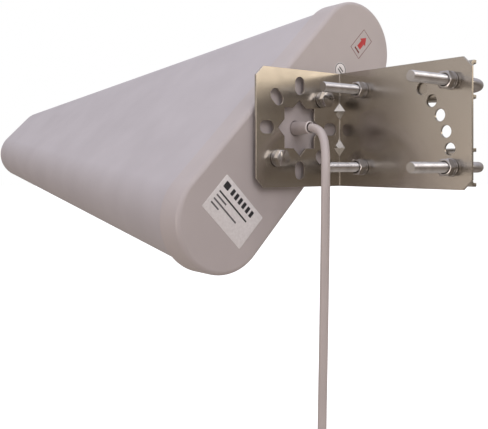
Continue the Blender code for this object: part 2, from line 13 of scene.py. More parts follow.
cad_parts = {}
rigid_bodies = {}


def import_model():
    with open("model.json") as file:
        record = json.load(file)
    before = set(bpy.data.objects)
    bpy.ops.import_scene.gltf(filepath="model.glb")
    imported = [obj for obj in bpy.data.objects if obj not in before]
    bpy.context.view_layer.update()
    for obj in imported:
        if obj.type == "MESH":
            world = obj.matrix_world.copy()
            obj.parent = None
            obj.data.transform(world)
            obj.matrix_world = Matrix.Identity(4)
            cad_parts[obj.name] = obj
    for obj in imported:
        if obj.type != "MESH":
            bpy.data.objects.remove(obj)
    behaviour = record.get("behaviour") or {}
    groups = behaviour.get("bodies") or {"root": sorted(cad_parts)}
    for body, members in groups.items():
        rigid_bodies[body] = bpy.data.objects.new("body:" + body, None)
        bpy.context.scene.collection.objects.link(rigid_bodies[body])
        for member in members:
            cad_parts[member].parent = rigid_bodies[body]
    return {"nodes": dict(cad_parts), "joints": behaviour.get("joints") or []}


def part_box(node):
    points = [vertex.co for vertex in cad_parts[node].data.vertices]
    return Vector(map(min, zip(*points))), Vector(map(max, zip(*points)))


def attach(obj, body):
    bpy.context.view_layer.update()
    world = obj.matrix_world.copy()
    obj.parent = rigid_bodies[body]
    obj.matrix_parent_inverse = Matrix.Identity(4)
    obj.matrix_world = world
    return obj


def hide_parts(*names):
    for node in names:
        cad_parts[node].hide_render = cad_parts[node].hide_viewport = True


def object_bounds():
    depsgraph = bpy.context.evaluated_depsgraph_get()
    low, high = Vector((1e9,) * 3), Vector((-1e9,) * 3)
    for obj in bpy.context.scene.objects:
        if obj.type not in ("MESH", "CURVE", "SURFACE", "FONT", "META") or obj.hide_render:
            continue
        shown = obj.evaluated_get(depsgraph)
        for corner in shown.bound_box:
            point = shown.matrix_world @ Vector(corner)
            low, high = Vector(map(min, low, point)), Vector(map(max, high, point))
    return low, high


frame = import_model()
cad_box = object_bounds()

# ---- sizes -------------------------------------------------------------------------------
QUARTER, HALF_TURN, FULL_TURN = math.pi / 2, math.pi, 2 * math.pi
ROLL = math.radians(45)  # slant of the antenna about its own axis
BACKWARDS, DOWNWARDS, NUT_SIDE = (-1, 0, 0), (0, 0, -1), (0, 1, 0)
GAP = 0.0003  # clearance between pieces that touch
WELD = 0.00001  # points closer than this are one
MAST_R = 0.0190  # the mast that the clamps are closed on
SHEET = 0.0015  # thickness of the bracket
LEG_R, THREAD_HOLE_R = 0.003, 0.0033
WASHER_R, SPRING_R, WASHER_H = 0.0050, 0.0047, 0.0010
HEX_ACROSS, NUT_H, HEAD_H = 0.009, 0.0034, 0.0035
COVER_HALF_W, COVER_HALF_T = 0.105, 0.031
SLOT_PITCH_R = 0.0252  # circle of the bracket's antenna slots and of the two cover bolts

# ---- places read from the frame ----------------------------------------------------------
bracket_low, bracket_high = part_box("mount_bracket")
FACE_Y = bracket_low.y + SHEET  # face of the wing that is clamped to the mast
FOLD_X = bracket_high.x - SHEET  # face of the wing that carries the antenna
BRACKET_H = bracket_high.z - bracket_low.z
gland_low, gland_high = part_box("cable_gland")
HUB_Y = (gland_low.y + gland_high.y) / 2  # the antenna's axis
turns = {j["name"]: j["pos_m"] for j in frame["joints"] if j["type"] == "hinge"}
LEG_X, _, CLAMP_Z = turns["upper_inner_nut_turn"]
LEG_TIP_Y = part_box("upper_u_bolt")[1].y
COVER_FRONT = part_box("rear_cover")[1].x
COVER_X = FOLD_X + 0.0037  # rear face of the cover
NOSE_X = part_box("radome")[1].x


def put(name, data):
    """Puts data in the scene as an object."""
    made = bpy.data.objects.new(name, data)
    bpy.context.scene.collection.objects.link(made)
    return made


# ---- camera ------------------------------------------------------------------------------
def camera():
    """A level camera behind the antenna, on the side of the clamp nuts."""
    data = bpy.data.cameras.new("camera")
    data.sensor_width = 36
    data.lens = 51.96
    data.shift_y = -0.1033
    data.clip_start, data.clip_end = 0.01, 50
    made = put("camera", data)
    made.location = (-0.2617, 0.33835, -0.02135)
    made.rotation_euler = (QUARTER, 0, math.radians(-127.43))
    bpy.context.scene.camera = made


# ---- making nodes ------------------------------------------------------------------------
def add(tree, kind, sockets=(), **settings):
    """Adds a node with its settings, and links or sets its sockets by name or number."""
    node = tree.nodes.new(kind)
    for name, value in settings.items():
        setattr(node, name, value)
    for key, value in dict(sockets).items():
        if isinstance(value, bpy.types.Node):
            value = value.outputs[0]
        if isinstance(value, bpy.types.NodeSocket):
            tree.links.new(value, node.inputs[key])
        else:
            node.inputs[key].default_value = value
    return node


# ---- materials ---------------------------------------------------------------------------
def srgb(code):
    """An sRGB hex colour as linear light."""
    channels = [int(code[i : i + 2], 16) / 255 for i in (0, 2, 4)]
    light = [c / 12.92 if c <= 0.04045 else ((c + 0.055) / 1.055) ** 2.4 for c in channels]
    return (*light, 1.0)


def start(name, **even):
    """A new material; values that are even all over are set on its shader's own sockets."""
    made = bpy.data.materials.new(name)
    made.use_nodes = True
    shader = made.node_tree.nodes["Principled BSDF"]
    for label, value in even.items():
        shader.inputs[label.replace("_", " ")].default_value = value
    return made, made.node_tree, shader


def grain(tree, size, stretch=(1, 1, 1), detail=2.0):
    """Noise in the piece's own space, a patch being size metres across times each stretch.
    Hair lines and tool marks are drawn a few times coarser than real ones, to show at all."""
    place = add(tree, "ShaderNodeTexCoord").outputs["Object"]
    scale = [1 / (size * s) for s in stretch]
    fitted = add(tree, "ShaderNodeMapping", {"Vector": place, "Scale": scale})
    return add(tree, "ShaderNodeTexNoise", {"Vector": fitted, "Scale": 1.0, "Detail": detail})


def spread(tree, amount, low, high):
    """Noise drawn out so that its usual middle half covers low to high."""
    return add(tree, "ShaderNodeMapRange", {0: amount, 1: 0.3, 2: 0.7, 3: low, 4: high})


def dress(tree, shader, amount, colours, roughness, relief, depth):
    """Colour, roughness and fine relief from noise."""
    share = spread(tree, amount, 0.0, 1.0)
    blend = {0: share, 6: srgb(colours[0]), 7: srgb(colours[1])}
    mixed = add(tree, "ShaderNodeMix", blend, data_type="RGBA")
    tree.links.new(mixed.outputs[2], shader.inputs["Base Color"])
    rough = spread(tree, amount, *roughness)
    tree.links.new(rough.outputs[0], shader.inputs["Roughness"])
    bump = add(tree, "ShaderNodeBump", {"Strength": 1.0, "Distance": depth, "Height": relief})
    tree.links.new(bump.outputs[0], shader.inputs["Normal"])


def moulded_asa(name, light, dark):
    """Injection-moulded ASA from a fine spark-eroded tool: an even satin skin with a soft,
    slightly uneven gloss."""
    made, tree, shader = start(name, IOR=1.51, Specular_IOR_Level=0.45)
    flow = grain(tree, 0.035, detail=3.0)
    texture = grain(tree, 0.0004, detail=1.0)
    dress(tree, shader, flow, (light, dark), (0.36, 0.43), texture, 0.000012)
    return made


def satin_stainless(name, light, dark, along, roughness):
    """Cold-rolled 304 sheet with a satin, brushed face: hair lines along the strip, which pull
    reflections out across them."""
    made, tree, shader = start(name, Metallic=1.0, Anisotropic=0.35)
    hair = grain(tree, 0.00035, along, detail=3.0)
    cloud = grain(tree, 0.018, detail=2.0)
    dress(tree, shader, cloud, (light, dark), roughness, hair, 0.000004)
    return made


def drawn_stainless(name, light, dark, roughness):
    """A2 bar and rolled thread: bright, with faint drawing marks and handling dulling."""
    made, tree, shader = start(name, Metallic=1.0)
    mark = grain(tree, 0.0009, (1, 6, 1), detail=2.0)
    cloud = grain(tree, 0.006, detail=2.0)
    dress(tree, shader, cloud, (light, dark), roughness, mark, 0.000005)
    return made


def soft_pvc(name, light, dark, roughness):
    """Extruded PVC: a smooth jacket, a little glossy, with slow waves of thickness."""
    made, tree, shader = start(name, IOR=1.52, Coat_Weight=0.08, Coat_Roughness=0.25)
    flow = grain(tree, 0.009, (1, 1, 4), detail=2.0)
    ripple = grain(tree, 0.0012, (1, 1, 5), detail=1.0)
    dress(tree, shader, flow, (light, dark), roughness, ripple, 0.00001)
    return made


def shrunk_polyolefin():
    """Heat-shrink sleeve: matt black with fine puckers round it."""
    made, tree, shader = start("heat_shrink_polyolefin", IOR=1.48)
    pucker = grain(tree, 0.0012, (2, 2, 0.6), detail=3.0)
    dress(tree, shader, pucker, ("1B1B1D", "2A2A2C"), (0.45, 0.62), pucker, 0.00012)
    return made


def plated(name, light, dark, roughness):
    """Bright plate over turned brass: mirror-like, with faint turning rings along the axis."""
    made, tree, shader = start(name, Metallic=1.0)
    rings = grain(tree, 0.0003, (40, 40, 1), detail=2.0)
    cloud = grain(tree, 0.004, detail=2.0)
    dress(tree, shader, cloud, (light, dark), roughness, rings, 0.000003)
    return made


def turned_ptfe():
    """Turned PTFE: white, waxy and very slightly translucent."""
    made, tree, shader = start("ptfe", IOR=1.38, Sheen_Weight=0.1)
    tool = grain(tree, 0.0003, (30, 30, 1), detail=1.0)
    cloud = grain(tree, 0.004)
    dress(tree, shader, cloud, ("EFEDE7", "E2DFD8"), (0.42, 0.55), tool, 0.000006)
    return made


def mill_aluminium():
    """Extruded 6063 in its mill finish: pale grey with die lines along the boom."""
    made, tree, shader = start("mill_aluminium", Metallic=1.0)
    die = grain(tree, 0.0005, (80, 1, 1), detail=2.0)
    cloud = grain(tree, 0.012)
    dress(tree, shader, cloud, ("C9CBCD", "B4B7BA"), (0.3, 0.42), die, 0.000006)
    return made


def seal_rubber():
    """Moulded EPDM cord: black and matt with a light bloom."""
    made, tree, shader = start("epdm", IOR=1.5, Sheen_Weight=0.15)
    bloom = grain(tree, 0.003, detail=3.0)
    dress(tree, shader, bloom, ("1E1E1E", "343433"), (0.65, 0.85), bloom, 0.00003)
    return made


def label_film():
    """White polyester label: nearly even, with the faint orange peel of its adhesive."""
    made, tree, shader = start("label_polyester", IOR=1.55, Coat_Weight=0.2, Coat_Roughness=0.2)
    peel = grain(tree, 0.0016)
    dress(tree, shader, peel, ("E9E6E6", "DEDADA"), (0.28, 0.36), peel, 0.00001)
    return made


def ink(name, light, dark):
    """Thermal-transfer ink: thin and even, slightly glossier than the film."""
    made, tree, shader = start(name, IOR=1.5)
    speck = grain(tree, 0.0003)
    dress(tree, shader, speck, (light, dark), (0.3, 0.4), speck, 0.000004)
    return made


def studio_floor():
    """A pale painted studio floor that carries a little light of its own."""
    made, tree, shader = start("studio_floor", Emission_Strength=0.55)
    shader.inputs["Emission Color"].default_value = srgb("FFFFFF")
    mottle = grain(tree, 0.4)
    dress(tree, shader, mottle, ("FAFAF8", "F6F6F4"), (0.75, 0.85), mottle, 0.00001)
    return made


RADOME_ASA = moulded_asa("radome_asa", "BDB8BB", "B7B2B5")
COVER_ASA = moulded_asa("cover_asa", "BEB6B5", "B8B0AF")
BRACKET_STEEL = satin_stainless("bracket_stainless", "BAB4AB", "AEA89F", (60, 60, 1), (0.2, 0.27))
SADDLE_STEEL = satin_stainless("saddle_stainless", "AFA99F", "9F998F", (50, 1, 1), (0.26, 0.36))
BOLT_STEEL = drawn_stainless("bolt_stainless", "C6C3C1", "B4B1AF", (0.13, 0.22))
CABLE_PVC = soft_pvc("cable_pvc", "C2B9B6", "BBB2AF", (0.36, 0.44))
GLAND_PLASTIC = soft_pvc("gland_polyamide", "B5ABA8", "ADA3A0", (0.42, 0.5))
# The lip ring is paler than the gland as a painted highlight: the light on its rounded rim is
# painted into its colour.
LIP_PAINTED_HIGHLIGHT = soft_pvc("seal_lip_pvc", "DAD3D0", "D0C9C6", (0.3, 0.38))
SHRINK = shrunk_polyolefin()
NICKEL = plated("nickel_plate", "C6C0B4", "B8B2A6", (0.12, 0.2))
GOLD = plated("gold_plate", "D9B25C", "C9A048", (0.14, 0.22))
PTFE = turned_ptfe()
ALUMINIUM = mill_aluminium()
RUBBER = seal_rubber()
FILM = label_film()
BLACK_INK = ink("black_ink", "26262A", "303034")
GREY_INK = ink("grey_ink", "5E5C5E", "68666A")
RED_INK = ink("red_ink", "C01420", "B8121C")
DARK_RED_INK = ink("dark_red_ink", "6E1418", "661216")


# ---- cable -------------------------------------------------------------------------------
CABLE_R = 0.0025
ROUTE = (
    (0.0415, 0.0571, 0.0),
    (0.0377, 0.0572, -0.0006),
    (0.0322, 0.0580, -0.0032),
    (0.0272, 0.0601, -0.0084),
    (0.0233, 0.0628, -0.0160),
    (0.0210, 0.0649, -0.0260),
    (0.0202, 0.0658, -0.0400),
    (0.0202, 0.0661, -0.0600),
    (0.0207, 0.0662, -0.0900),
    (0.0216, 0.0661, -0.1250),
    (0.0226, 0.0660, -0.1600),
    (0.0233, 0.0660, -0.2000),
    (0.0236, 0.0660, -0.2400),
    (0.0236, 0.0660, -0.2760),
)


def smooth_path(route, count):
    """Points at even steps along a Catmull-Rom curve through the route's points."""
    ends = [2 * Vector(route[0]) - Vector(route[1]), 2 * Vector(route[-1]) - Vector(route[-2])]
    knots = [ends[0]] + [Vector(p) for p in route] + [ends[1]]
    fine = []
    per_span = 24
    for i in range(1, len(knots) - 2):
        a, b, c, d = knots[i - 1 : i + 3]
        for k in range(per_span):
            t = k / per_span
            bend = (2 * a - 5 * b + 4 * c - d) * t * t + (3 * b - a - 3 * c + d) * t**3
            fine.append(0.5 * (2 * b + (c - a) * t + bend))
    fine.append(knots[-2])
    travelled = [0.0]
    for before, after in zip(fine, fine[1:]):
        travelled.append(travelled[-1] + (after - before).length)
    points = []
    k = 0
    for i in range(count):
        goal = travelled[-1] * i / (count - 1)
        while k < len(fine) - 2 and travelled[k + 1] < goal:
            k += 1
        share = (goal - travelled[k]) / (travelled[k + 1] - travelled[k])
        points.append(fine[k].lerp(fine[k + 1], share))
    return points, travelled[-1]


def cable():
    """The pigtail's jacket, from the gland down to its heat-shrink sleeve."""
    points, length = smooth_path(ROUTE, 160)
    curve = bpy.data.curves.new("cable_jacket", "CURVE")
    curve.dimensions = "3D"
    curve.bevel_depth = CABLE_R
    curve.bevel_resolution = 6
    curve.use_fill_caps = True
    spline = curve.splines.new("POLY")
    spline.points.add(len(points) - 1)
    for point, spot in zip(spline.points, points):
        point.co = (*spot, 1)
    spline.use_smooth = True
    curve.materials.append(CABLE_PVC)
    made = put("cable_jacket", curve)
    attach(made, "antenna")
    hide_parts("cable")
    return made, length


# ---- making pieces -----------------------------------------------------------------------
def as_bmesh(mesh):
    """Turns a mesh into a bmesh."""
    shape = bmesh.new()
    shape.from_mesh(mesh)
    bpy.data.meshes.remove(mesh)
    return shape


def as_mesh(name, shape):
    """Turns a bmesh into a mesh."""
    mesh = bpy.data.meshes.new(name)
    shape.to_mesh(mesh)
    shape.free()
    return mesh


def weld(shape):
    """Merges doubled points and turns every face outwards."""
    bmesh.ops.remove_doubles(shape, verts=shape.verts, dist=WELD)
    bmesh.ops.recalc_face_normals(shape, faces=shape.faces)


def evaluated_mesh(source):
    """What an object's modifiers or its curve make of it, as a mesh."""
    bpy.context.view_layer.update()
    evaluated = source.evaluated_get(bpy.context.evaluated_depsgraph_get())
    return bpy.data.meshes.new_from_object(evaluated)


def soften(mesh, sharp):
    """Shades a mesh smooth but for the edges sharper than this many degrees."""
    mesh.shade_smooth()
    mesh.set_sharp_from_angle(angle=math.radians(sharp))


def keep(name, shape, surface, body, nodes=(), sharp=32):
    """Makes a piece of a bmesh, puts it on the body that it rides on, hides the CAD nodes that it
    stands for and gives it its finish."""
    weld(shape)
    mesh = as_mesh(name, shape)
    soften(mesh, sharp)
    for each in surface if isinstance(surface, tuple) else (surface,):
        mesh.materials.append(each)
    made = put(name, mesh)
    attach(made, body)
    if nodes:
        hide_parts(*nodes)
    return made


def even_normals(piece):
    """Weights a piece's normals by face area, so that flat faces look flat beside rounded edges."""
    weighting = piece.modifiers.new("even_normals", "WEIGHTED_NORMAL")
    weighting.keep_sharp = True
    return piece


def facing(direction, origin):
    """Turns +Z to direction and moves the origin."""
    turn = Vector((0, 0, 1)).rotation_difference(Vector(direction)).to_matrix().to_4x4()
    return Matrix.Translation(Vector(origin)) @ turn


def revolve(section_at, axes=None, steps=48, sweep=None):
    """A closed section of (radius, height) points, which may vary with the angle, taken round
    the Z of axes. With a sweep it stops short of a full turn and its ends are capped."""
    axes = axes or Matrix.Identity(4)
    begin, end = sweep or (0.0, FULL_TURN)
    shape = bmesh.new()
    rings = []
    count = steps + 1 if sweep else steps
    for i in range(count):
        angle = begin + (end - begin) * i / steps
        ring = []
        for radius, height in section_at(angle):
            spot = Vector((radius * math.cos(angle), radius * math.sin(angle), height))
            ring.append(shape.verts.new(axes @ spot))
        rings.append(ring)
    pairs = list(zip(rings, rings[1:]))
    if sweep:
        shape.faces.new(rings[0])
        shape.faces.new(rings[-1])
    else:
        pairs.append((rings[-1], rings[0]))
    for ring, after in pairs:
        for j in range(len(ring)):
            k = (j + 1) % len(ring)
            shape.faces.new((ring[j], ring[k], after[k], after[j]))
    return shape


def rounded(corners, radius, steps=3):
    """A closed section with each of its corners rounded."""
    points = []
    count = len(corners)
    for i in range(count):
        before, here, after = (Vector(corners[(i + k) % count]) for k in (-1, 0, 1))
        first, second = (before - here).normalized(), (after - here).normalized()
        opening = first.angle(second)
        reach = radius / math.tan(opening / 2)
        centre = here + (first + second).normalized() * radius / math.sin(opening / 2)
        begin, end = here + first * reach - centre, here + second * reach - centre
        for k in range(steps + 1):
            points.append(tuple(centre + begin.slerp(end, k / steps) * radius))
    return points


def join(shape, other):
    """Adds another bmesh to shape."""
    mesh = as_mesh("joined", other)
    shape.from_mesh(mesh)
    bpy.data.meshes.remove(mesh)


def circle(radius, centre=(0, 0), sides=40):
    """A circle's outline."""
    angles = [FULL_TURN * i / sides for i in range(sides)]
    return [(centre[0] + radius * math.cos(a), centre[1] + radius * math.sin(a)) for a in angles]


def slot_outline(centre, length, width, angle, steps=16):
    """A round-ended slot whose length runs at angle."""
    reach = (length - width) / 2
    points = []
    for end in (0, HALF_TURN):
        for i in range(steps + 1):
            a = end - QUARTER + HALF_TURN * i / steps
            x = math.cos(end) * reach + math.cos(a) * width / 2
            y = math.sin(a) * width / 2
            across = centre[0] + x * math.cos(angle) - y * math.sin(angle)
            along = centre[1] + x * math.sin(angle) + y * math.cos(angle)
            points.append((across, along))
    return points


def blank(outlines, thickness, edge):
    """A sheet cut to closed outlines, inner ones being holes, its rims rounded by edge. It lies
    below Z = 0."""
    curve = bpy.data.curves.new("blank", "CURVE")
    curve.dimensions = "2D"
    curve.fill_mode = "BOTH"
    curve.extrude = thickness / 2 - edge
    curve.bevel_depth = edge
    curve.bevel_resolution = 1
    curve.offset = -edge
    for outline in outlines:
        spline = curve.splines.new("POLY")
        spline.points.add(len(outline) - 1)
        for point, (x, y) in zip(spline.points, outline):
            point.co = (x, y, 0, 1)
        spline.use_cyclic_u = True
    source = put("blank", curve)
    shape = as_bmesh(evaluated_mesh(source))
    bpy.data.objects.remove(source)
    bmesh.ops.translate(shape, verts=shape.verts, vec=(0, 0, -thickness / 2))
    bmesh.ops.remove_doubles(shape, verts=shape.verts, dist=WELD / 10)
    return shape


def score(shape, point, normal, faces=None):
    """Cuts a sheet's faces along a plane without parting them."""
    chosen = faces or shape.faces[:]
    edges = {e for f in chosen for e in f.edges}
    verts = {v for f in chosen for v in f.verts}
    bmesh.ops.bisect_plane(
        shape, geom=[*verts, *edges, *chosen], dist=1e-7, plane_co=point, plane_no=normal
    )


def fold(shape, begin, radius, steps=8, gussets=(), half_height=0, half_width=0):
    """Folds what lies beyond begin along Y up to +Z, round a bend of that inner radius. Each
    gusset, at its X, is a diamond-shaped dent pressed across the bend: two facets that meet on
    a level ridge."""
    bend = radius * QUARTER
    corner = begin + radius
    rows = [begin + bend * i / steps for i in range(steps + 1)]
    for y in rows:
        score(shape, (0, y, 0), (0, 1, 0))
    outline = []
    if gussets:
        beyond = math.sqrt(2) * half_width - radius
        for i, y in enumerate(rows):
            angle = QUARTER * i / steps
            outline.append((y, radius * abs(math.cos(angle) - math.sin(angle)) / half_width))
        outline = [(begin - beyond, 1.0), *outline, (begin + bend + beyond, 1.0)]
    for x in gussets:
        near = [f for f in shape.faces if any(abs(v.co.x - x) < 2 * half_height for v in f.verts)]
        score(shape, (x, 0, 0), (1, 0, 0), near)
        for side in (1, -1):
            for (y, share), (next_y, next_share) in zip(outline, outline[1:]):
                near = [
                    f
                    for f in shape.faces
                    if y < f.calc_center_median().y < next_y
                    and 0 < side * (f.calc_center_median().x - x) < 4 * half_height
                ]
                at = x + side * half_height * (1 - share)
                next_at = x + side * half_height * (1 - next_share)
                score(shape, (at, y, 0), (next_y - y, at - next_at, 0), near)
    for vert in shape.verts:
        x, y, z = vert.co
        if y > begin:
            angle = min((y - begin) / radius, QUARTER)
            further = max(y - begin - bend, 0)
            folded_y = begin + (radius - z) * math.sin(angle)
            folded_z = radius - (radius - z) * math.cos(angle) + further
        else:
            folded_y, folded_z = y, z
        width = max([1 - abs(x - g) / half_height for g in gussets], default=0) * half_width
        if width > 0:
            if width < radius / math.sqrt(2):
                depth = 2 * radius - math.sqrt(2 * (radius**2 - width**2))
            else:
                depth = math.sqrt(2) * width
            press = depth + z * math.sqrt(2) - (corner - folded_y + folded_z)
            if press > 0:
                folded_y -= press / 2
                folded_z += press / 2
        vert.co = (x, folded_y, folded_z)


# ---- Geometry Nodes ----------------------------------------------------------------------
def new_tree(name, sizes):
    """A Geometry Nodes tree with these named inputs, and its input node."""
    tree = bpy.data.node_groups.new(name, "GeometryNodeTree")
    tree.interface.new_socket("Geometry", in_out="OUTPUT", socket_type="NodeSocketGeometry")
    sockets = {"Geometry": "Geometry", **sizes, "Surface": "Material"}
    for label, kind in sockets.items():
        tree.interface.new_socket(label, in_out="INPUT", socket_type="NodeSocket" + kind)
    return tree, tree.nodes.new("NodeGroupInput").outputs


def close(tree, given, shape):
    """Ends a tree: real geometry, smooth, with its material."""
    real = add(tree, "GeometryNodeRealizeInstances", {0: shape})
    smooth = add(tree, "GeometryNodeSetShadeSmooth", {"Geometry": real})
    pair = {"Geometry": smooth, "Material": given["Surface"]}
    add(tree, "NodeGroupOutput", {0: add(tree, "GeometryNodeSetMaterial", pair)})
    return tree


def remember(tree, geometry, value):
    """Keeps a vector of each point, for use after the points have become a surface."""
    held = add(tree, "GeometryNodeCaptureAttribute", {0: geometry}, domain="POINT")
    held.capture_items.new("VECTOR", "Held")
    tree.links.new(value.outputs[0], held.inputs[1])
    return held


def grow(tree, points, surface, wire="open", **sizes):
    """Runs a tree on points, which form an open or a closed wire or are left loose, with these
    sizes, and returns the result as a bmesh."""
    count = len(points)
    spans = {"open": count - 1, "closed": count, "loose": 0}[wire]
    mesh = bpy.data.meshes.new("wire")
    mesh.from_pydata([tuple(p) for p in points], [(i, (i + 1) % count) for i in range(spans)], [])
    source = put("wire", mesh)
    modifier = source.modifiers.new("grow", "NODES")
    modifier.node_group = tree
    given = {label.replace("_", " "): value for label, value in sizes.items()}
    given["Surface"] = surface
    for item in tree.interface.items_tree:
        if item.in_out == "INPUT" and item.name in given:
            modifier[item.identifier] = given[item.name]
    grown = evaluated_mesh(source)
    source.modifiers.remove(modifier)
    bpy.data.objects.remove(source)
    return as_bmesh(grown)


def capsule_skin_tree():
    """A skin with a slot-shaped section. Each point of the wire is one section: its X is the
    place along, its Y the half width and its Z the half thickness."""
    tree, given = new_tree("capsule_skin", {"Sides": "Int", "Roll": "Float", "Centre": "Vector"})
    place = add(tree, "GeometryNodeInputPosition")
    sections = remember(tree, add(tree, "GeometryNodeMeshToCurve", {0: given["Geometry"]}), place)
    ring = add(tree, "GeometryNodeCurvePrimitiveCircle", {"Resolution": given["Sides"]})
    around = remember(tree, ring, place)
    skin = add(tree, "GeometryNodeCurveToMesh", {"Curve": sections, "Profile Curve": around})
    section = add(tree, "ShaderNodeSeparateXYZ", {0: sections.outputs[1]}).outputs
    turn = add(tree, "ShaderNodeSeparateXYZ", {0: around.outputs[1]}).outputs
    straight = add(tree, "ShaderNodeMath", {0: section[1], 1: section[2]}, operation="SUBTRACT")
    side = add(tree, "ShaderNodeMath", {0: turn[0]}, operation="SIGN")
    shift = add(tree, "ShaderNodeMath", {0: straight, 1: side}, operation="MULTIPLY")
    bow = {0: section[2], 1: turn[0], 2: shift}
    across = add(tree, "ShaderNodeMath", bow, operation="MULTIPLY_ADD")
    through = add(tree, "ShaderNodeMath", {0: section[2], 1: turn[1]}, operation="MULTIPLY")
    spot = add(tree, "ShaderNodeCombineXYZ", {0: section[0], 1: across, 2: through})
    placed = add(tree, "GeometryNodeSetPosition", {"Geometry": skin, "Position": spot})
    roll = add(tree, "ShaderNodeCombineXYZ", {0: given["Roll"]})
    move = {"Geometry": placed, "Translation": given["Centre"], "Rotation": roll}
    rolled = add(tree, "GeometryNodeTransform", move)
    welded = add(tree, "GeometryNodeMergeByDistance", {"Geometry": rolled, "Distance": WELD})
    return close(tree, given, welded)


def threaded_bar_tree():
    """A round bar along the wire, with a rolled thread and a chamfer at both of its ends."""
    sizes = ("Bar radius", "Thread length", "Pitch", "Thread depth", "Chamfer")
    kinds = {"Sides": "Int", **{label: "Float" for label in sizes}}
    tree, given = new_tree("threaded_bar", kinds)
    place = add(tree, "GeometryNodeInputPosition")
    along = add(tree, "GeometryNodeSplineParameter").outputs["Length"]
    total = add(tree, "GeometryNodeSplineLength").outputs["Length"]
    travel = add(tree, "ShaderNodeCombineXYZ", {0: along, 1: total})
    centres = remember(tree, add(tree, "GeometryNodeMeshToCurve", {0: given["Geometry"]}), place)
    path = remember(tree, centres, travel)
    size = {"Resolution": given["Sides"], "Radius": given["Bar radius"]}
    around = remember(tree, add(tree, "GeometryNodeCurvePrimitiveCircle", size), place)
    pieces = {"Curve": path, "Profile Curve": around, "Fill Caps": True}
    bar = add(tree, "GeometryNodeCurveToMesh", pieces)
    run = add(tree, "ShaderNodeSeparateXYZ", {0: path.outputs[1]}).outputs
    turn = add(tree, "ShaderNodeSeparateXYZ", {0: around.outputs[1]}).outputs
    angle = add(tree, "ShaderNodeMath", {0: turn[1], 1: turn[0]}, operation="ARCTAN2")
    circles = add(tree, "ShaderNodeMath", {0: angle, 1: FULL_TURN}, operation="DIVIDE")
    climbed = add(tree, "ShaderNodeMath", {0: run[0], 1: given["Pitch"]}, operation="DIVIDE")
    phase = add(tree, "ShaderNodeMath", {0: climbed, 1: circles}, operation="SUBTRACT")
    wave = add(tree, "ShaderNodeMath", {0: phase, 1: 0.5}, operation="PINGPONG")
    groove = add(tree, "ShaderNodeMapRange", {0: wave, 1: 0.08, 2: 0.42})
    rest = add(tree, "ShaderNodeMath", {0: run[1], 1: run[0]}, operation="SUBTRACT")
    to_end = add(tree, "ShaderNodeMath", {0: run[0], 1: rest}, operation="MINIMUM")
    left = add(tree, "ShaderNodeMath", {0: given["Thread length"], 1: to_end}, operation="SUBTRACT")
    fade = add(tree, "ShaderNodeMapRange", {0: left, 1: 0.0, 2: given["Pitch"]})
    cut_in = add(tree, "ShaderNodeMath", {0: groove, 1: fade}, operation="MULTIPLY")
    deep = add(tree, "ShaderNodeMath", {0: cut_in, 1: given["Thread depth"]}, operation="MULTIPLY")
    bevel = add(tree, "ShaderNodeMath", {0: given["Chamfer"], 1: to_end}, operation="SUBTRACT")
    sink = add(tree, "ShaderNodeMath", {0: deep, 1: bevel}, operation="MAXIMUM")
    share = add(tree, "ShaderNodeMath", {0: sink, 1: given["Bar radius"]}, operation="DIVIDE")
    scale = add(tree, "ShaderNodeMath", {0: 1.0, 1: share}, operation="SUBTRACT")
    out = add(tree, "ShaderNodeVectorMath", {0: place, 1: centres.outputs[1]}, operation="SUBTRACT")
    shrunk = add(tree, "ShaderNodeVectorMath", {0: out, "Scale": scale}, operation="SCALE")
    spot = {0: shrunk, 1: centres.outputs[1]}
    spot = add(tree, "ShaderNodeVectorMath", spot, operation="ADD")
    return close(tree, given, add(tree, "GeometryNodeSetPosition", {0: bar, "Position": spot}))


def ribbed_turning_tree():
    """A turned piece about -Z from its centre. Each point of the wire is one ring: its X is the
    distance along, its Y the radius and its Z the depth of the ribs there."""
    kinds = {"Sides": "Int", "Ribs": "Float", "Centre": "Vector"}
    tree, given = new_tree("ribbed_turning", kinds)
    place = add(tree, "GeometryNodeInputPosition")
    rings = remember(tree, add(tree, "GeometryNodeMeshToCurve", {0: given["Geometry"]}), place)
    ring = add(tree, "GeometryNodeCurvePrimitiveCircle", {"Resolution": given["Sides"]})
    around = remember(tree, ring, place)
    skin = add(tree, "GeometryNodeCurveToMesh", {"Curve": rings, "Profile Curve": around})
    station = add(tree, "ShaderNodeSeparateXYZ", {0: rings.outputs[1]}).outputs
    turn = add(tree, "ShaderNodeSeparateXYZ", {0: around.outputs[1]}).outputs
    angle = add(tree, "ShaderNodeMath", {0: turn[1], 1: turn[0]}, operation="ARCTAN2")
    circles = add(tree, "ShaderNodeMath", {0: angle, 1: FULL_TURN}, operation="DIVIDE")
    phase = add(tree, "ShaderNodeMath", {0: circles, 1: given["Ribs"]}, operation="MULTIPLY")
    wave = add(tree, "ShaderNodeMath", {0: phase, 1: 0.5}, operation="PINGPONG")
    groove = add(tree, "ShaderNodeMapRange", {0: wave, 1: 0.1, 2: 0.4})
    dip = add(tree, "ShaderNodeMath", {0: groove, 1: station[2]}, operation="MULTIPLY")
    radius = add(tree, "ShaderNodeMath", {0: station[1], 1: dip}, operation="SUBTRACT")
    x = add(tree, "ShaderNodeMath", {0: radius, 1: turn[0]}, operation="MULTIPLY")
    y = add(tree, "ShaderNodeMath", {0: radius, 1: turn[1]}, operation="MULTIPLY")
    z = add(tree, "ShaderNodeMath", {0: station[0], 1: -1.0}, operation="MULTIPLY")
    spot = add(tree, "ShaderNodeCombineXYZ", {0: x, 1: y, 2: z})
    placed = add(tree, "GeometryNodeSetPosition", {"Geometry": skin, "Position": spot})
    move = {"Geometry": placed, "Translation": given["Centre"]}
    return close(tree, given, add(tree, "GeometryNodeTransform", move))


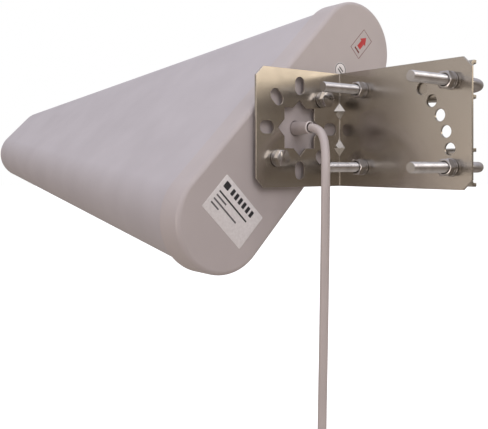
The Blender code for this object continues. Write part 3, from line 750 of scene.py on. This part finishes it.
def set_out_tree():
    """One piece set out at each of the given points, all turned the same way."""
    tree, given = new_tree("set_out", {"Piece": "Object", "Turn": "Vector"})
    piece = add(tree, "GeometryNodeObjectInfo", {"Object": given["Piece"]}).outputs["Geometry"]
    ends = {"Points": given["Geometry"], "Instance": piece, "Rotation": given["Turn"]}
    return close(tree, given, add(tree, "GeometryNodeInstanceOnPoints", ends))


CAPSULE_SKIN = capsule_skin_tree()
THREADED_BAR = threaded_bar_tree()
RIBBED_TURNING = ribbed_turning_tree()
SET_OUT = set_out_tree()


# ---- housing -----------------------------------------------------------------------------
def housing_yz(across, through):
    """Y and Z of a point across the antenna's width and through its thickness."""
    y = HUB_Y - across * math.cos(ROLL) + through * math.sin(ROLL)
    z = across * math.sin(ROLL) + through * math.cos(ROLL)
    return y, z


def rounded_rim(x, half_width, half_thick, radius, direction, steps=10):
    """Sections round a rim that ends at x, towards direction."""
    rows = []
    for i in range(steps + 1):
        a = QUARTER * i / steps
        inset = radius * (1 - math.cos(a))
        along = x - direction * radius * (1 - math.sin(a))
        rows.append((along, half_width - inset, half_thick - inset))
    return rows


def skin(name, sections, wall, surface, nodes, slot):
    """A moulded shell whose outside is lofted through the sections, its last one closed."""
    sizes = {"Sides": 130, "Roll": -ROLL, "Centre": (0, HUB_Y, 0)}
    shape = grow(CAPSULE_SKIN, sections, surface, **sizes)
    piece = keep(name, shape, surface, "antenna", nodes, 28)
    inside = piece.modifiers.new("wall", "SOLIDIFY")
    inside.thickness = wall
    inside.offset = -1
    inside.use_even_offset = True
    return piece


def cap(sections, steps=5):
    """Draws the last section in to a line, in even steps, to close the end."""
    x, half_width, half_thick = sections[-1]
    straight = half_width - half_thick
    for i in range(1, steps + 1):
        thick = half_thick * (1 - i / steps)
        sections.append((x, straight + thick, thick))
    return sections


def radome():
    """The wedge: a short straight spigot inside the cover, a long straight draft and a soft nose.
    """
    front = COVER_FRONT
    step = 0.0021
    width, thick = COVER_HALF_W - step, COVER_HALF_T - step
    nose_w, nose_t, nose_edge = 0.039, 0.0237, 0.0087
    spigot = 0.0136
    sections = [(front - spigot, width, thick), (front, width, thick)]
    end = NOSE_X - nose_edge
    rows = 40
    for i in range(1, rows):
        share = i / rows
        x = front + (end - front) * share
        sections.append((x, width + (nose_w - width) * share, thick + (nose_t - thick) * share))
    sections += rounded_rim(NOSE_X, nose_w, nose_t, nose_edge, 1, 14)
    skin("radome_skin", cap(sections), 0.0022, RADOME_ASA, ["radome"], "radome_abs")


def bolt_places():
    """Y and Z of the two bolts that hold the housing, on its width."""
    return [housing_yz(SLOT_PITCH_R, 0), housing_yz(-SLOT_PITCH_R, 0)]


def rear_cover():
    """The cap on the radome's wide end: a rolled front lip, a rounded rear rim and a flat face
    with bosses for the bolts and a hole for the gland."""
    lip = 0.0006
    sections = rounded_rim(COVER_FRONT, COVER_HALF_W, COVER_HALF_T, lip, 1, 4)[::-1]
    sections += rounded_rim(COVER_X, COVER_HALF_W, COVER_HALF_T, 0.0028, -1)
    wall = 0.0018
    piece = skin("rear_cover_skin", cap(sections), wall, COVER_ASA, ["rear_cover"], "cover_abs")
    core_r, boss_r, boss_root, boss_h, edge = 0.0002, 0.0085, -0.001, 0.0009, 0.0002
    corners = [(core_r, boss_root), (boss_r, boss_root), (boss_r, boss_h), (core_r, boss_h)]
    boss = rounded(corners, edge)
    bosses, holes = bmesh.new(), bmesh.new()
    for y, z in bolt_places():
        join(bosses, revolve(lambda a: boss, facing(BACKWARDS, (COVER_X, y, z))))
    cut(piece, form("boss_form", bosses), "UNION")
    gland_hole_r, reach = 0.0047, 0.006
    drilled = [(y, z, THREAD_HOLE_R) for y, z in bolt_places()]
    for y, z, radius in [*drilled, (HUB_Y, 0, gland_hole_r)]:
        pin = [(0.0, -reach), (radius, -reach), (radius, reach), (0.0, reach)]
        join(holes, revolve(lambda a: pin, facing(BACKWARDS, (COVER_X, y, z))))
    cut(piece, form("hole_form", holes))
    bake(piece)


def form(name, shape):
    """A closed shape to cut or join with, which bake removes."""
    weld(shape)
    made = put(name, as_mesh(name, shape))
    made["form"] = True
    return made


def cut(target, tool, operation="DIFFERENCE"):
    """Takes a form out of a piece, or adds it."""
    change = target.modifiers.new(tool.name, "BOOLEAN")
    change.object = tool
    change.operation = operation
    change.solver = "EXACT"


def bake(piece, sharp=28):
    """Turns a piece's modifiers into plain mesh and removes the forms that they used."""
    mesh = evaluated_mesh(piece)
    piece.modifiers.clear()
    piece.data = mesh
    soften(mesh, sharp)
    for used in [o for o in bpy.data.objects if o.get("form")]:
        bpy.data.objects.remove(used)
    return even_normals(piece)


# ---- angle bracket -----------------------------------------------------------------------
def star(radius, centre):
    """Two squares laid over each other at 45 degrees."""
    inner = radius * math.cos(HALF_TURN / 4) / math.cos(HALF_TURN / 8)
    points = []
    for i in range(16):
        reach = radius if i % 2 == 0 else inner
        a = HALF_TURN / 8 * i
        points.append((centre[0] + reach * math.sin(a), centre[1] + reach * math.cos(a)))
    return points


def mount_bracket():
    """The angle, punched flat and then folded with two gussets across its bend. In the blank X
    is the bracket's height and Y runs along the mast wing and on up the antenna wing."""
    half = BRACKET_H / 2
    bend_r = 0.0008
    begin = FOLD_X - bend_r
    bend = bend_r * QUARTER

    def on_antenna_wing(y):
        return begin + bend + y - (FACE_Y + bend_r)

    near, far = bracket_low.x, on_antenna_wing(bracket_high.y)
    corner = 0.0054
    outline = [(half, near + corner), (half, far - corner), (half - corner, far)]
    outline += [(-half + corner, far), (-half, far - corner), (-half, near + corner)]
    outline += [(-half + corner, near), (half - corner, near)]
    hub = (0, on_antenna_wing(HUB_Y))
    star_r, slot_l, slot_w, slots = 0.0169, 0.0106, 0.0074, 8
    outlines = [outline, star(star_r, hub)]
    for i in range(slots):
        a = FULL_TURN / slots * i
        centre = (SLOT_PITCH_R * math.sin(a), hub[1] + SLOT_PITCH_R * math.cos(a))
        outlines.append(slot_outline(centre, slot_l, slot_w, QUARTER - a))
    leg_slot_l, leg_slot_w = 0.0086, 0.0070
    for x in (LEG_X, -LEG_X):
        for z in (CLAMP_Z, -CLAMP_Z):
            outlines.append(slot_outline((z, x), leg_slot_l, leg_slot_w, QUARTER))
    tilt_x, tilt_r, tilt_hole_r, tilt_step = 0.0268, 0.0585, 0.0034, math.radians(9.6)
    for i in range(1, 6):
        a = tilt_step * i
        centre = (-CLAMP_Z + tilt_r * math.sin(a), tilt_x - tilt_r * math.cos(a))
        outlines.append(circle(tilt_hole_r, centre))
    edge = 0.00015
    shape = blank(outlines, SHEET, edge)
    gusset_z, half_height, half_width = 0.0114, 0.0056, 0.0034
    fold(shape, begin, bend_r, 8, (gusset_z, -gusset_z), half_height, half_width)
    upright = Matrix(((0, 1, 0, 0), (0, 0, 1, FACE_Y), (1, 0, 0, 0), (0, 0, 0, 1)))
    shape.transform(upright)
    surface, slot, sharp = BRACKET_STEEL, "bracket_stainless", 14
    even_normals(keep("angle_bracket", shape, surface, "antenna", ["mount_bracket"], sharp))


# ---- mast clamps -------------------------------------------------------------------------
def saddle(name, z):
    """A channel, punched flat and folded twice, whose toothed flanges grip the mast."""
    sheet, bend_r = 0.002, 0.0010
    half_length, tip_x, teeth, tooth_depth = 0.0428, 0.0305, 10, 0.0012
    back_y = FACE_Y - SHEET - GAP
    half_angle = math.radians(65)
    apex = back_y - MAST_R / math.sin(half_angle)
    rise = 1 / math.tan(half_angle)
    width, edge_r = 0.0203, 0.00025
    begin = width / 2 - sheet - bend_r
    bend = bend_r * QUARTER

    def flat(drop):
        return begin + bend + drop - sheet - bend_r

    bottom_x, end_depth = 0.0035, 0.0046
    pitch = (tip_x - bottom_x) / teeth
    edge = [(half_length, begin), (half_length, flat(end_depth))]
    edge.append((tip_x, flat(apex + tip_x * rise)))
    for i in range(teeth):
        x = tip_x - pitch * i
        root = x - pitch / 2
        edge.append((root, flat(apex + root * rise - tooth_depth)))
        crest = x - pitch
        edge.append((crest, flat(apex + crest * rise)))
    edge.append((bottom_x - 0.001, flat(apex + bottom_x * rise - tooth_depth / 2)))
    flange = edge + [(-x, y) for x, y in reversed(edge)]
    outline = flange + [(x, -y) for x, y in reversed(flange)]
    holes = [circle(THREAD_HOLE_R + GAP, (x, 0)) for x in (LEG_X, -LEG_X)]
    shape = blank([outline, *holes], sheet, edge_r)
    fold(shape, begin, bend_r, 6)
    for vert in shape.verts:
        vert.co.y = -vert.co.y
    fold(shape, begin, bend_r, 6)
    seat = Matrix(((1, 0, 0, 0), (0, 0, -1, back_y - sheet), (0, 1, 0, z), (0, 0, 0, 1)))
    shape.transform(seat)
    press = keep(f"{name}_press", shape, SADDLE_STEEL, "antenna", [name], 26)
    even_normals(press)


def u_bolt(name, z):
    """A bar bent to a U, its legs threaded from their chamfered ends."""
    pitch, thread = 0.001, 0.036
    bend_y = -MAST_R - GAP - LEG_R + LEG_X
    fine = pitch / 8
    rows = [LEG_TIP_Y - fine * i for i in range(int(thread / fine) + 9)]
    steps = int((rows[-1] - bend_y) / 0.003)
    rows += [rows[-1] + (bend_y - rows[-1]) * i / steps for i in range(1, steps)]
    leg = [(LEG_X, y, z) for y in rows]
    arc = 48
    bow = []
    for i in range(arc + 1):
        a = HALF_TURN * i / arc
        bow.append((LEG_X * math.cos(a), bend_y - LEG_X * math.sin(a), z))
    points = leg + bow + [(-x, y, z) for x, y, z in reversed(leg)]
    sizes = {"Sides": 32, "Bar_radius": LEG_R, "Thread_length": thread, "Pitch": pitch}
    shape = grow(THREADED_BAR, points, BOLT_STEEL, Thread_depth=0.0003, Chamfer=0.0003, **sizes)
    keep(f"{name}_rod", shape, BOLT_STEEL, name, [name], 42)


def hex_section(across, height, bore=None, turn=0.0):
    """The section of a nut, or of a bolt head without a bore, with its corners chamfered. One
    of the corners points along turn."""
    land = across / 2 * 0.97
    slope = math.tan(math.radians(30))
    side = HALF_TURN / 3

    def section(angle):
        reach = across / 2 / math.cos((angle - turn) % side - side / 2)
        drop = (reach - land) * slope
        outer = [(land, 0), (reach, drop), (reach, height - drop), (land, height)]
        if bore is None:
            return [(0, 0), *outer, (0, height)]
        lead = 0.0003
        inner = [(bore + lead, height), (bore, height - lead), (bore, lead), (bore + lead, 0)]
        return outer + inner

    return section


def washer_section(radius, height, edge, climb=0.0):
    """A washer's section. In a spring washer it climbs from one end of the slit to the other."""
    corners = [(THREAD_HOLE_R, 0), (radius, 0), (radius, height), (THREAD_HOLE_R, height)]
    rim = rounded(corners, edge, 2)

    def section(angle):
        lift = climb * (angle / FULL_TURN - 0.5)
        return [(r, h + lift) for r, h in rim]

    return section


def washers():
    """The washers under a nut or a bolt head, each with its height above the sheet."""
    slit = math.radians(6)
    flat = revolve(washer_section(WASHER_R, WASHER_H, 0.00012))
    split_section = washer_section(SPRING_R, WASHER_H, 0.0001, 0.0003)
    split = revolve(split_section, sweep=(slit, FULL_TURN - slit))
    return [("flat_washer", flat, GAP), ("spring_washer", split, WASHER_H + 2 * GAP)]


def set_out(name, shape, points, turn, nodes):
    """Makes one piece of several alike that stand at points and stay with the bracket."""
    master = form("master", shape)
    alike = grow(SET_OUT, points, BOLT_STEEL, wire="loose", Piece=master, Turn=turn)
    keep(name, alike, BOLT_STEEL, "antenna", nodes)
    bpy.data.objects.remove(master)


def clamp_hardware():
    """Washers and nuts on the U-bolts' legs. Each nut turns on its own."""
    levels = {"upper": CLAMP_Z, "lower": -CLAMP_Z}
    sides = {"inner": LEG_X, "outer": -LEG_X}
    legs = [(x, z) for x in sides.values() for z in levels.values()]
    for kind, shape, out in washers():
        points = [(x, FACE_Y + out, z) for x, z in legs]
        nodes = [f"{level}_{side}_{kind}" for level in levels for side in sides]
        set_out(f"clamp_{kind}s", shape, points, (-QUARTER, 0, 0), nodes)
    nut_y = FACE_Y + 2 * WASHER_H + 3 * GAP
    for level, z in levels.items():
        for side, x in sides.items():
            name = f"{level}_{side}_nut"
            hexagon = hex_section(HEX_ACROSS, NUT_H, THREAD_HOLE_R)
            shape = revolve(hexagon, facing(NUT_SIDE, (x, nut_y, z)))
            keep(f"{name}_hex", shape, BOLT_STEEL, name, [name])


def cover_hardware():
    """Flat washers, spring washers and hexagon bolts through the antenna wing's slots."""
    bolt = revolve(hex_section(HEX_ACROSS, HEAD_H, turn=QUARTER))
    length, overlap = 0.018, 0.0005
    corners = [(0, -length), (LEG_R, -length), (LEG_R, overlap), (0, overlap)]
    shank = rounded(corners, 0.0001, 1)
    join(bolt, revolve(lambda a: shank, steps=32))
    for kind, shape, out in [*washers(), ("bolt", bolt, 2 * WASHER_H + 3 * GAP)]:
        points = [(FOLD_X - out, y, z) for y, z in bolt_places()]
        nodes = [f"{level}_cover_{kind}" for level in ("upper", "lower")]
        set_out(f"cover_{kind}s", shape, points, (0, -QUARTER, 0), nodes)


# ---- gland and plug ----------------------------------------------------------------------
def cable_gland():
    """A tapered sleeve, a filleted foot inside the cover and a rolled lip at its mouth, whose paler
    colour is a painted highlight.
    """
    mouth, inner = FOLD_X - gland_low.x, gland_high.x - FOLD_X
    bore, tip_r, foot_r, flange_r, lip_r = CABLE_R + GAP, 0.0033, 0.0043, 0.0066, 0.0005
    lip_root = mouth - 2 * lip_r
    section = [(bore, lip_root), (tip_r, lip_root), (tip_r, lip_root - 0.0002)]
    section += [(foot_r, -0.0020), (foot_r, 0.0020 - inner)]
    section += [(flange_r, 0.0019 - inner), (flange_r, -inner), (bore, -inner)]
    axis = facing(BACKWARDS, (FOLD_X, HUB_Y, 0))
    shape = revolve(lambda a: section, axis, 64)
    lip = circle(lip_r, (bore + lip_r, mouth - lip_r), 16)
    ring = revolve(lambda a: lip, axis, 64)
    # The lip ring takes the paler material, a painted highlight on its rim.
    for face in ring.faces:
        face.material_index = 1
    join(shape, ring)
    surfaces = (GLAND_PLASTIC, LIP_PAINTED_HIGHLIGHT)
    keep("gland_sleeve", shape, surfaces, "antenna", ["cable_gland"], 40)


def plug():
    """The sleeve, ferrule and N-type plug that hang on the cable, downwards from its end."""
    x, y, top = ROUTE[-1]
    top -= GAP
    centre = Vector((x, y, top))

    def span(node):
        low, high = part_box(node)
        return top - high.z, top - low.z

    pieces = []
    near, far = span("heat_shrink")
    waves = 18
    rings = [(near, 0.0, 0), (near, 0.0027, 0)]
    for i in range(waves + 1):
        share = i / waves
        swell = 0.0008 * min(share / 0.25, 1)
        rings.append((near + (far - near) * share, 0.00275 + swell + 0.00004 * math.sin(5 * i), 0))
    rings += [(far, 0.0028, 0), (far, 0.0, 0)]
    sizes = {"Sides": 48, "Ribs": 0.0, "Centre": centre}
    shape = grow(RIBBED_TURNING, rings, SHRINK, **sizes)
    pieces.append(keep("shrink_sleeve", shape, SHRINK, "antenna", ["heat_shrink"]))
    near, far = span("crimp_ferrule")
    hexed = revolve(hex_section(0.0062, far - near), facing(DOWNWARDS, (x, y, top - near)))
    pieces.append(keep("ferrule_crimp", hexed, NICKEL, "antenna", ["crimp_ferrule"]))
    near, far = span("plug_body")
    seat = far - 0.0125
    rings = [(far, 0.0040, 0), (far, 0.0049, 0), (far - 0.0002, 0.0050, 0), (seat, 0.0050, 0)]
    rings += [(seat, 0.0066, 0), (seat - 0.0022, 0.0066, 0), (seat - 0.0022, 0.0052, 0)]
    rings += [(near + 0.0055, 0.0052, 0), (near + 0.0055, 0.0070, 0), (near + 0.0052, 0.0072, 0)]
    rings += [(near + 0.0011, 0.0072, 0), (near, 0.0062, 0), (near, 0.0, 0)]
    rings += [(near + 0.002, 0.0, 0), (near + 0.002, 0.0040, 0)]
    shape = grow(RIBBED_TURNING, rings, NICKEL, wire="closed", **sizes)
    pieces.append(keep("plug_shell", shape, NICKEL, "antenna", ["plug_body"]))
    near, far = span("coupling_nut")
    knurl = 0.0003
    rings = [(far, 0.0081, 0), (far, 0.0099, 0), (far - 0.0005, 0.0103, 0)]
    rings += [(far - 0.0030, 0.0103, 0), (far - 0.0034, 0.0100, 0), (far - 0.0038, 0.0103, 0)]
    rings += [(far - 0.0040, 0.0104, knurl), (near + 0.0018, 0.0104, knurl)]
    rings += [(near + 0.0015, 0.0101, 0), (near, 0.0095, 0), (near, 0.0059, 0)]
    rings += [(near + 0.0012, 0.0059, 0), (near + 0.0012, 0.0080, 0)]
    count = 13
    for i in range(count):
        down = near + 0.006 + (far - near - 0.0068) * i / (count - 1)
        rings.append((down, 0.0080 + 0.0003 * (i % 2), 0))
    sizes = {"Sides": 216, "Ribs": 54.0, "Centre": centre}
    shape = grow(RIBBED_TURNING, rings, NICKEL, wire="closed", **sizes)
    nut = keep("coupling_knurl", shape, NICKEL, "coupling_nut", ["coupling_nut"])
    pieces.append(nut)
    near, far = span("centre_pin")
    pin = [(0, near), (0.0008, near), (0.0008, far - 0.0014), (0.0005, far - 0.0004)]
    pin += [(0.0002, far), (0, far)]
    shape = revolve(lambda a: pin, facing(DOWNWARDS, centre), 24)
    pieces.append(keep("pin_contact", shape, GOLD, "antenna", ["centre_pin"]))
    near, far = span("plug_insulator")
    ring = rounded([(0.0012, near), (0.0037, near), (0.0037, far), (0.0012, far)], 0.0002)
    shape = revolve(lambda a: ring, facing(DOWNWARDS, centre), 40)
    pieces.append(keep("insulator_bead", shape, PTFE, "antenna", ["plug_insulator"]))
    return pieces


# ---- labels ------------------------------------------------------------------------------
def rounded_rectangle(centre, size, radius):
    """A rectangle's outline with rounded corners."""
    half = (size[0] / 2, size[1] / 2)
    corners = [
        (centre[0] + a * half[0], centre[1] + b * half[1])
        for a, b in ((-1, -1), (1, -1), (1, 1), (-1, 1))
    ]
    return rounded(corners, radius, 5)


def printed(name, film, marks):
    """A label on the cover's rear face: its film, if it has one, and marks printed on it.
    Outlines are across the antenna's width and through its thickness."""
    film_h, ink_h = 0.00012, 0.00003
    shape = bmesh.new()
    surfaces = []
    layers = [(film, film_h, 0.0, FILM)] if film else []
    layers += [(outlines, ink_h, film_h if film else 0.0, surface) for outlines, surface in marks]
    for outlines, thick, lift, surface in layers:
        if surface not in surfaces:
            surfaces.append(surface)
        part = blank(outlines, thick, thick / 4)
        for vert in part.verts:
            y, z = housing_yz(vert.co.x, vert.co.y)
            vert.co = (COVER_X - lift - thick - vert.co.z, y, z)
        for face in part.faces:
            face.material_index = surfaces.index(surface)
        join(shape, part)
    keep(name, shape, tuple(surfaces), "antenna")


def rating_plate():
    """A film with a heading block, a column of small blocks and plain rules for its print."""
    middle = -0.067
    plate = [rounded_rectangle((middle, -0.001), (0.024, 0.036), 0.0008)]
    marks = [([rounded_rectangle((middle + 0.0075, 0.0122), (0.0042, 0.0042), 0.0004)], BLACK_INK)]
    for i in range(6):
        mark = rounded_rectangle((middle + 0.0075, 0.0068 - 0.0036 * i), (0.0040, 0.0022), 0.0003)
        marks.append(([mark], BLACK_INK))
    for row, length in enumerate((0.026, 0.009, 0.021, 0.007)):
        across = middle + 0.0020 - 0.0027 * row
        through = 0.0143 - length / 2
        rule = rounded_rectangle((across, through), (0.0010, length), 0.0003)
        marks.append(([rule], BLACK_INK if row == 0 else GREY_INK))
    printed("rating_plate", plate, marks)


def up_mark():
    """A framed arrow with a bar at its foot, which shows the way up."""
    centre = (0.0800, -0.0002)
    frame_mark = [rounded_rectangle(centre, (0.0176, 0.0104), 0.0003)]
    frame_mark.append(rounded_rectangle(centre, (0.0169, 0.0097), 0.0002))
    head, tail, wide, slim = 0.0064, -0.0036, 0.0033, 0.0017
    arrow = [(head, 0), (head - 0.0048, wide), (head - 0.0048, slim), (tail, slim)]
    arrow += [(x, -y) for x, y in reversed(arrow[1:])]
    arrow = [(centre[0] + x, centre[1] + y) for x, y in arrow]
    foot = rounded_rectangle((centre[0] - 0.0058, centre[1]), (0.0012, 0.0052), 0.0003)
    printed("up_mark", None, [(frame_mark + [foot], DARK_RED_INK), ([arrow], RED_INK)])


def inspection_mark():
    """A round film with a ring and two bars."""
    across, through = 0.0534, 0.0003
    disc, outer, inner = [circle(r, (across, through)) for r in (0.0050, 0.0047, 0.0042)]
    bars = []
    for side in (-0.0009, 0.0009):
        bars.append(rounded_rectangle((across + side, through), (0.0008, 0.0044), 0.0003))
    printed("inspection_mark", [disc], [([outer, inner], BLACK_INK), (bars, BLACK_INK)])


# ---- CAD pieces that stay as they are ----------------------------------------------------
def dress_cad_nodes():
    """The array, its inner bracket and the seal keep their CAD shape and get real finishes."""
    finishes = {
        "cover_gasket": RUBBER,
        "front_spacer": PTFE,
        "feed_strip": GOLD,
        "inner_coax": CABLE_PVC,
        "upper_housing_nut": BOLT_STEEL,
        "lower_housing_nut": BOLT_STEEL,
    }
    for name, node in frame["nodes"].items():
        surface = finishes.get(name, ALUMINIUM)
        node.data.materials.clear()
        node.data.materials.append(surface)


# ---- studio ------------------------------------------------------------------------------
def softbox(name, stand, size, power, colour, aim=(0.05, 0.05, 0.0)):
    """A rectangular light at stand that faces aim."""
    data = bpy.data.lights.new(name, "AREA")
    data.shape = "RECTANGLE"
    data.size, data.size_y = size
    data.energy = power
    data.color = srgb(colour)[:3]
    made = put(name, data)
    made.location = stand
    made.rotation_euler = (Vector(aim) - Vector(stand)).to_track_quat("-Z", "Y").to_euler()


def world():
    """White paper behind the object, and a soft room, darkest at eye level and brighter towards
    one side."""
    room = bpy.data.worlds.new("studio")
    bpy.context.scene.world = room
    room.use_nodes = True
    tree = room.node_tree
    tree.nodes.clear()
    up = add(tree, "ShaderNodeTexCoord").outputs["Generated"]
    height = add(tree, "ShaderNodeSeparateXYZ", {0: up}).outputs[2]
    share = add(tree, "ShaderNodeMapRange", {0: height, 1: -1.0, 2: 1.0})
    ramp = add(tree, "ShaderNodeValToRGB", {0: share})
    stops = ((0.0, "CFC8C3"), (0.22, "A89E97"), (0.42, "7C726A"), (0.52, "9A928C"))
    stops += ((0.75, "D6D4DE"), (1.0, "F4F4FA"))
    for place, colour in stops[1:-1]:
        ramp.color_ramp.elements.new(place)
    for element, (place, colour) in zip(ramp.color_ramp.elements, stops):
        element.position = place
        element.color = srgb(colour)
    bright_side = {0: up, 1: (-0.79, 0.61, 0.0)}
    towards = add(tree, "ShaderNodeVectorMath", bright_side, operation="DOT_PRODUCT").outputs[1]
    strength = add(tree, "ShaderNodeMapRange", {0: towards, 1: 0.72, 2: 0.95, 3: 1.0, 4: 1.7})
    soft = add(tree, "ShaderNodeBackground", {0: ramp, 1: strength})
    paper = add(tree, "ShaderNodeBackground", {0: srgb("FFFFFF"), 1: 1.0})
    seen = add(tree, "ShaderNodeLightPath").outputs["Is Camera Ray"]
    mixed = add(tree, "ShaderNodeMixShader", {0: seen, 1: soft, 2: paper})
    add(tree, "ShaderNodeOutputWorld", {0: mixed})


def studio():
    """A pale floor below the hanging plug, a plain room and soft lights."""
    shape = bmesh.new()
    bmesh.ops.create_circle(shape, cap_ends=True, segments=96, radius=12)
    floor = put("floor", as_mesh("floor", shape))
    floor.location.z = cad_box[0].z - 0.06
    floor.data.materials.append(studio_floor())
    floor.visible_diffuse = False
    floor.visible_glossy = False
    world()
    softbox("top_softbox", (-0.1, 0.5, 1.2), (1.2, 1.2), 1.5, "EEEEFF")
    softbox("front_softbox", (0.9, 1.3, 0.1), (0.9, 1.2), 0.8, "FFF4E6")
    softbox("back_softbox", (-1.0, -0.9, 0.45), (0.9, 0.6), 2.8, "FFF0D8")
    softbox("left_softbox", (-1.1, 0.2, 1.0), (0.9, 0.9), 5.6, "FFF8F4")
    softbox("nose_softbox", (0.35, 1.8, -0.15), (1.0, 0.8), 7, "FFF2EA", (0.35, 0.06, 0.0))


camera()
jacket, cable_length = cable()
with_plug = plug()
dress_cad_nodes()
radome()
rear_cover()
mount_bracket()
for level, height in (("upper", CLAMP_Z), ("lower", -CLAMP_Z)):
    saddle(f"{level}_saddle", height)
    u_bolt(f"{level}_u_bolt", height)
clamp_hardware()
cover_hardware()
cable_gland()
rating_plate()
up_mark()
inspection_mark()
studio()
bpy.context.scene.view_settings.view_transform = "Standard"
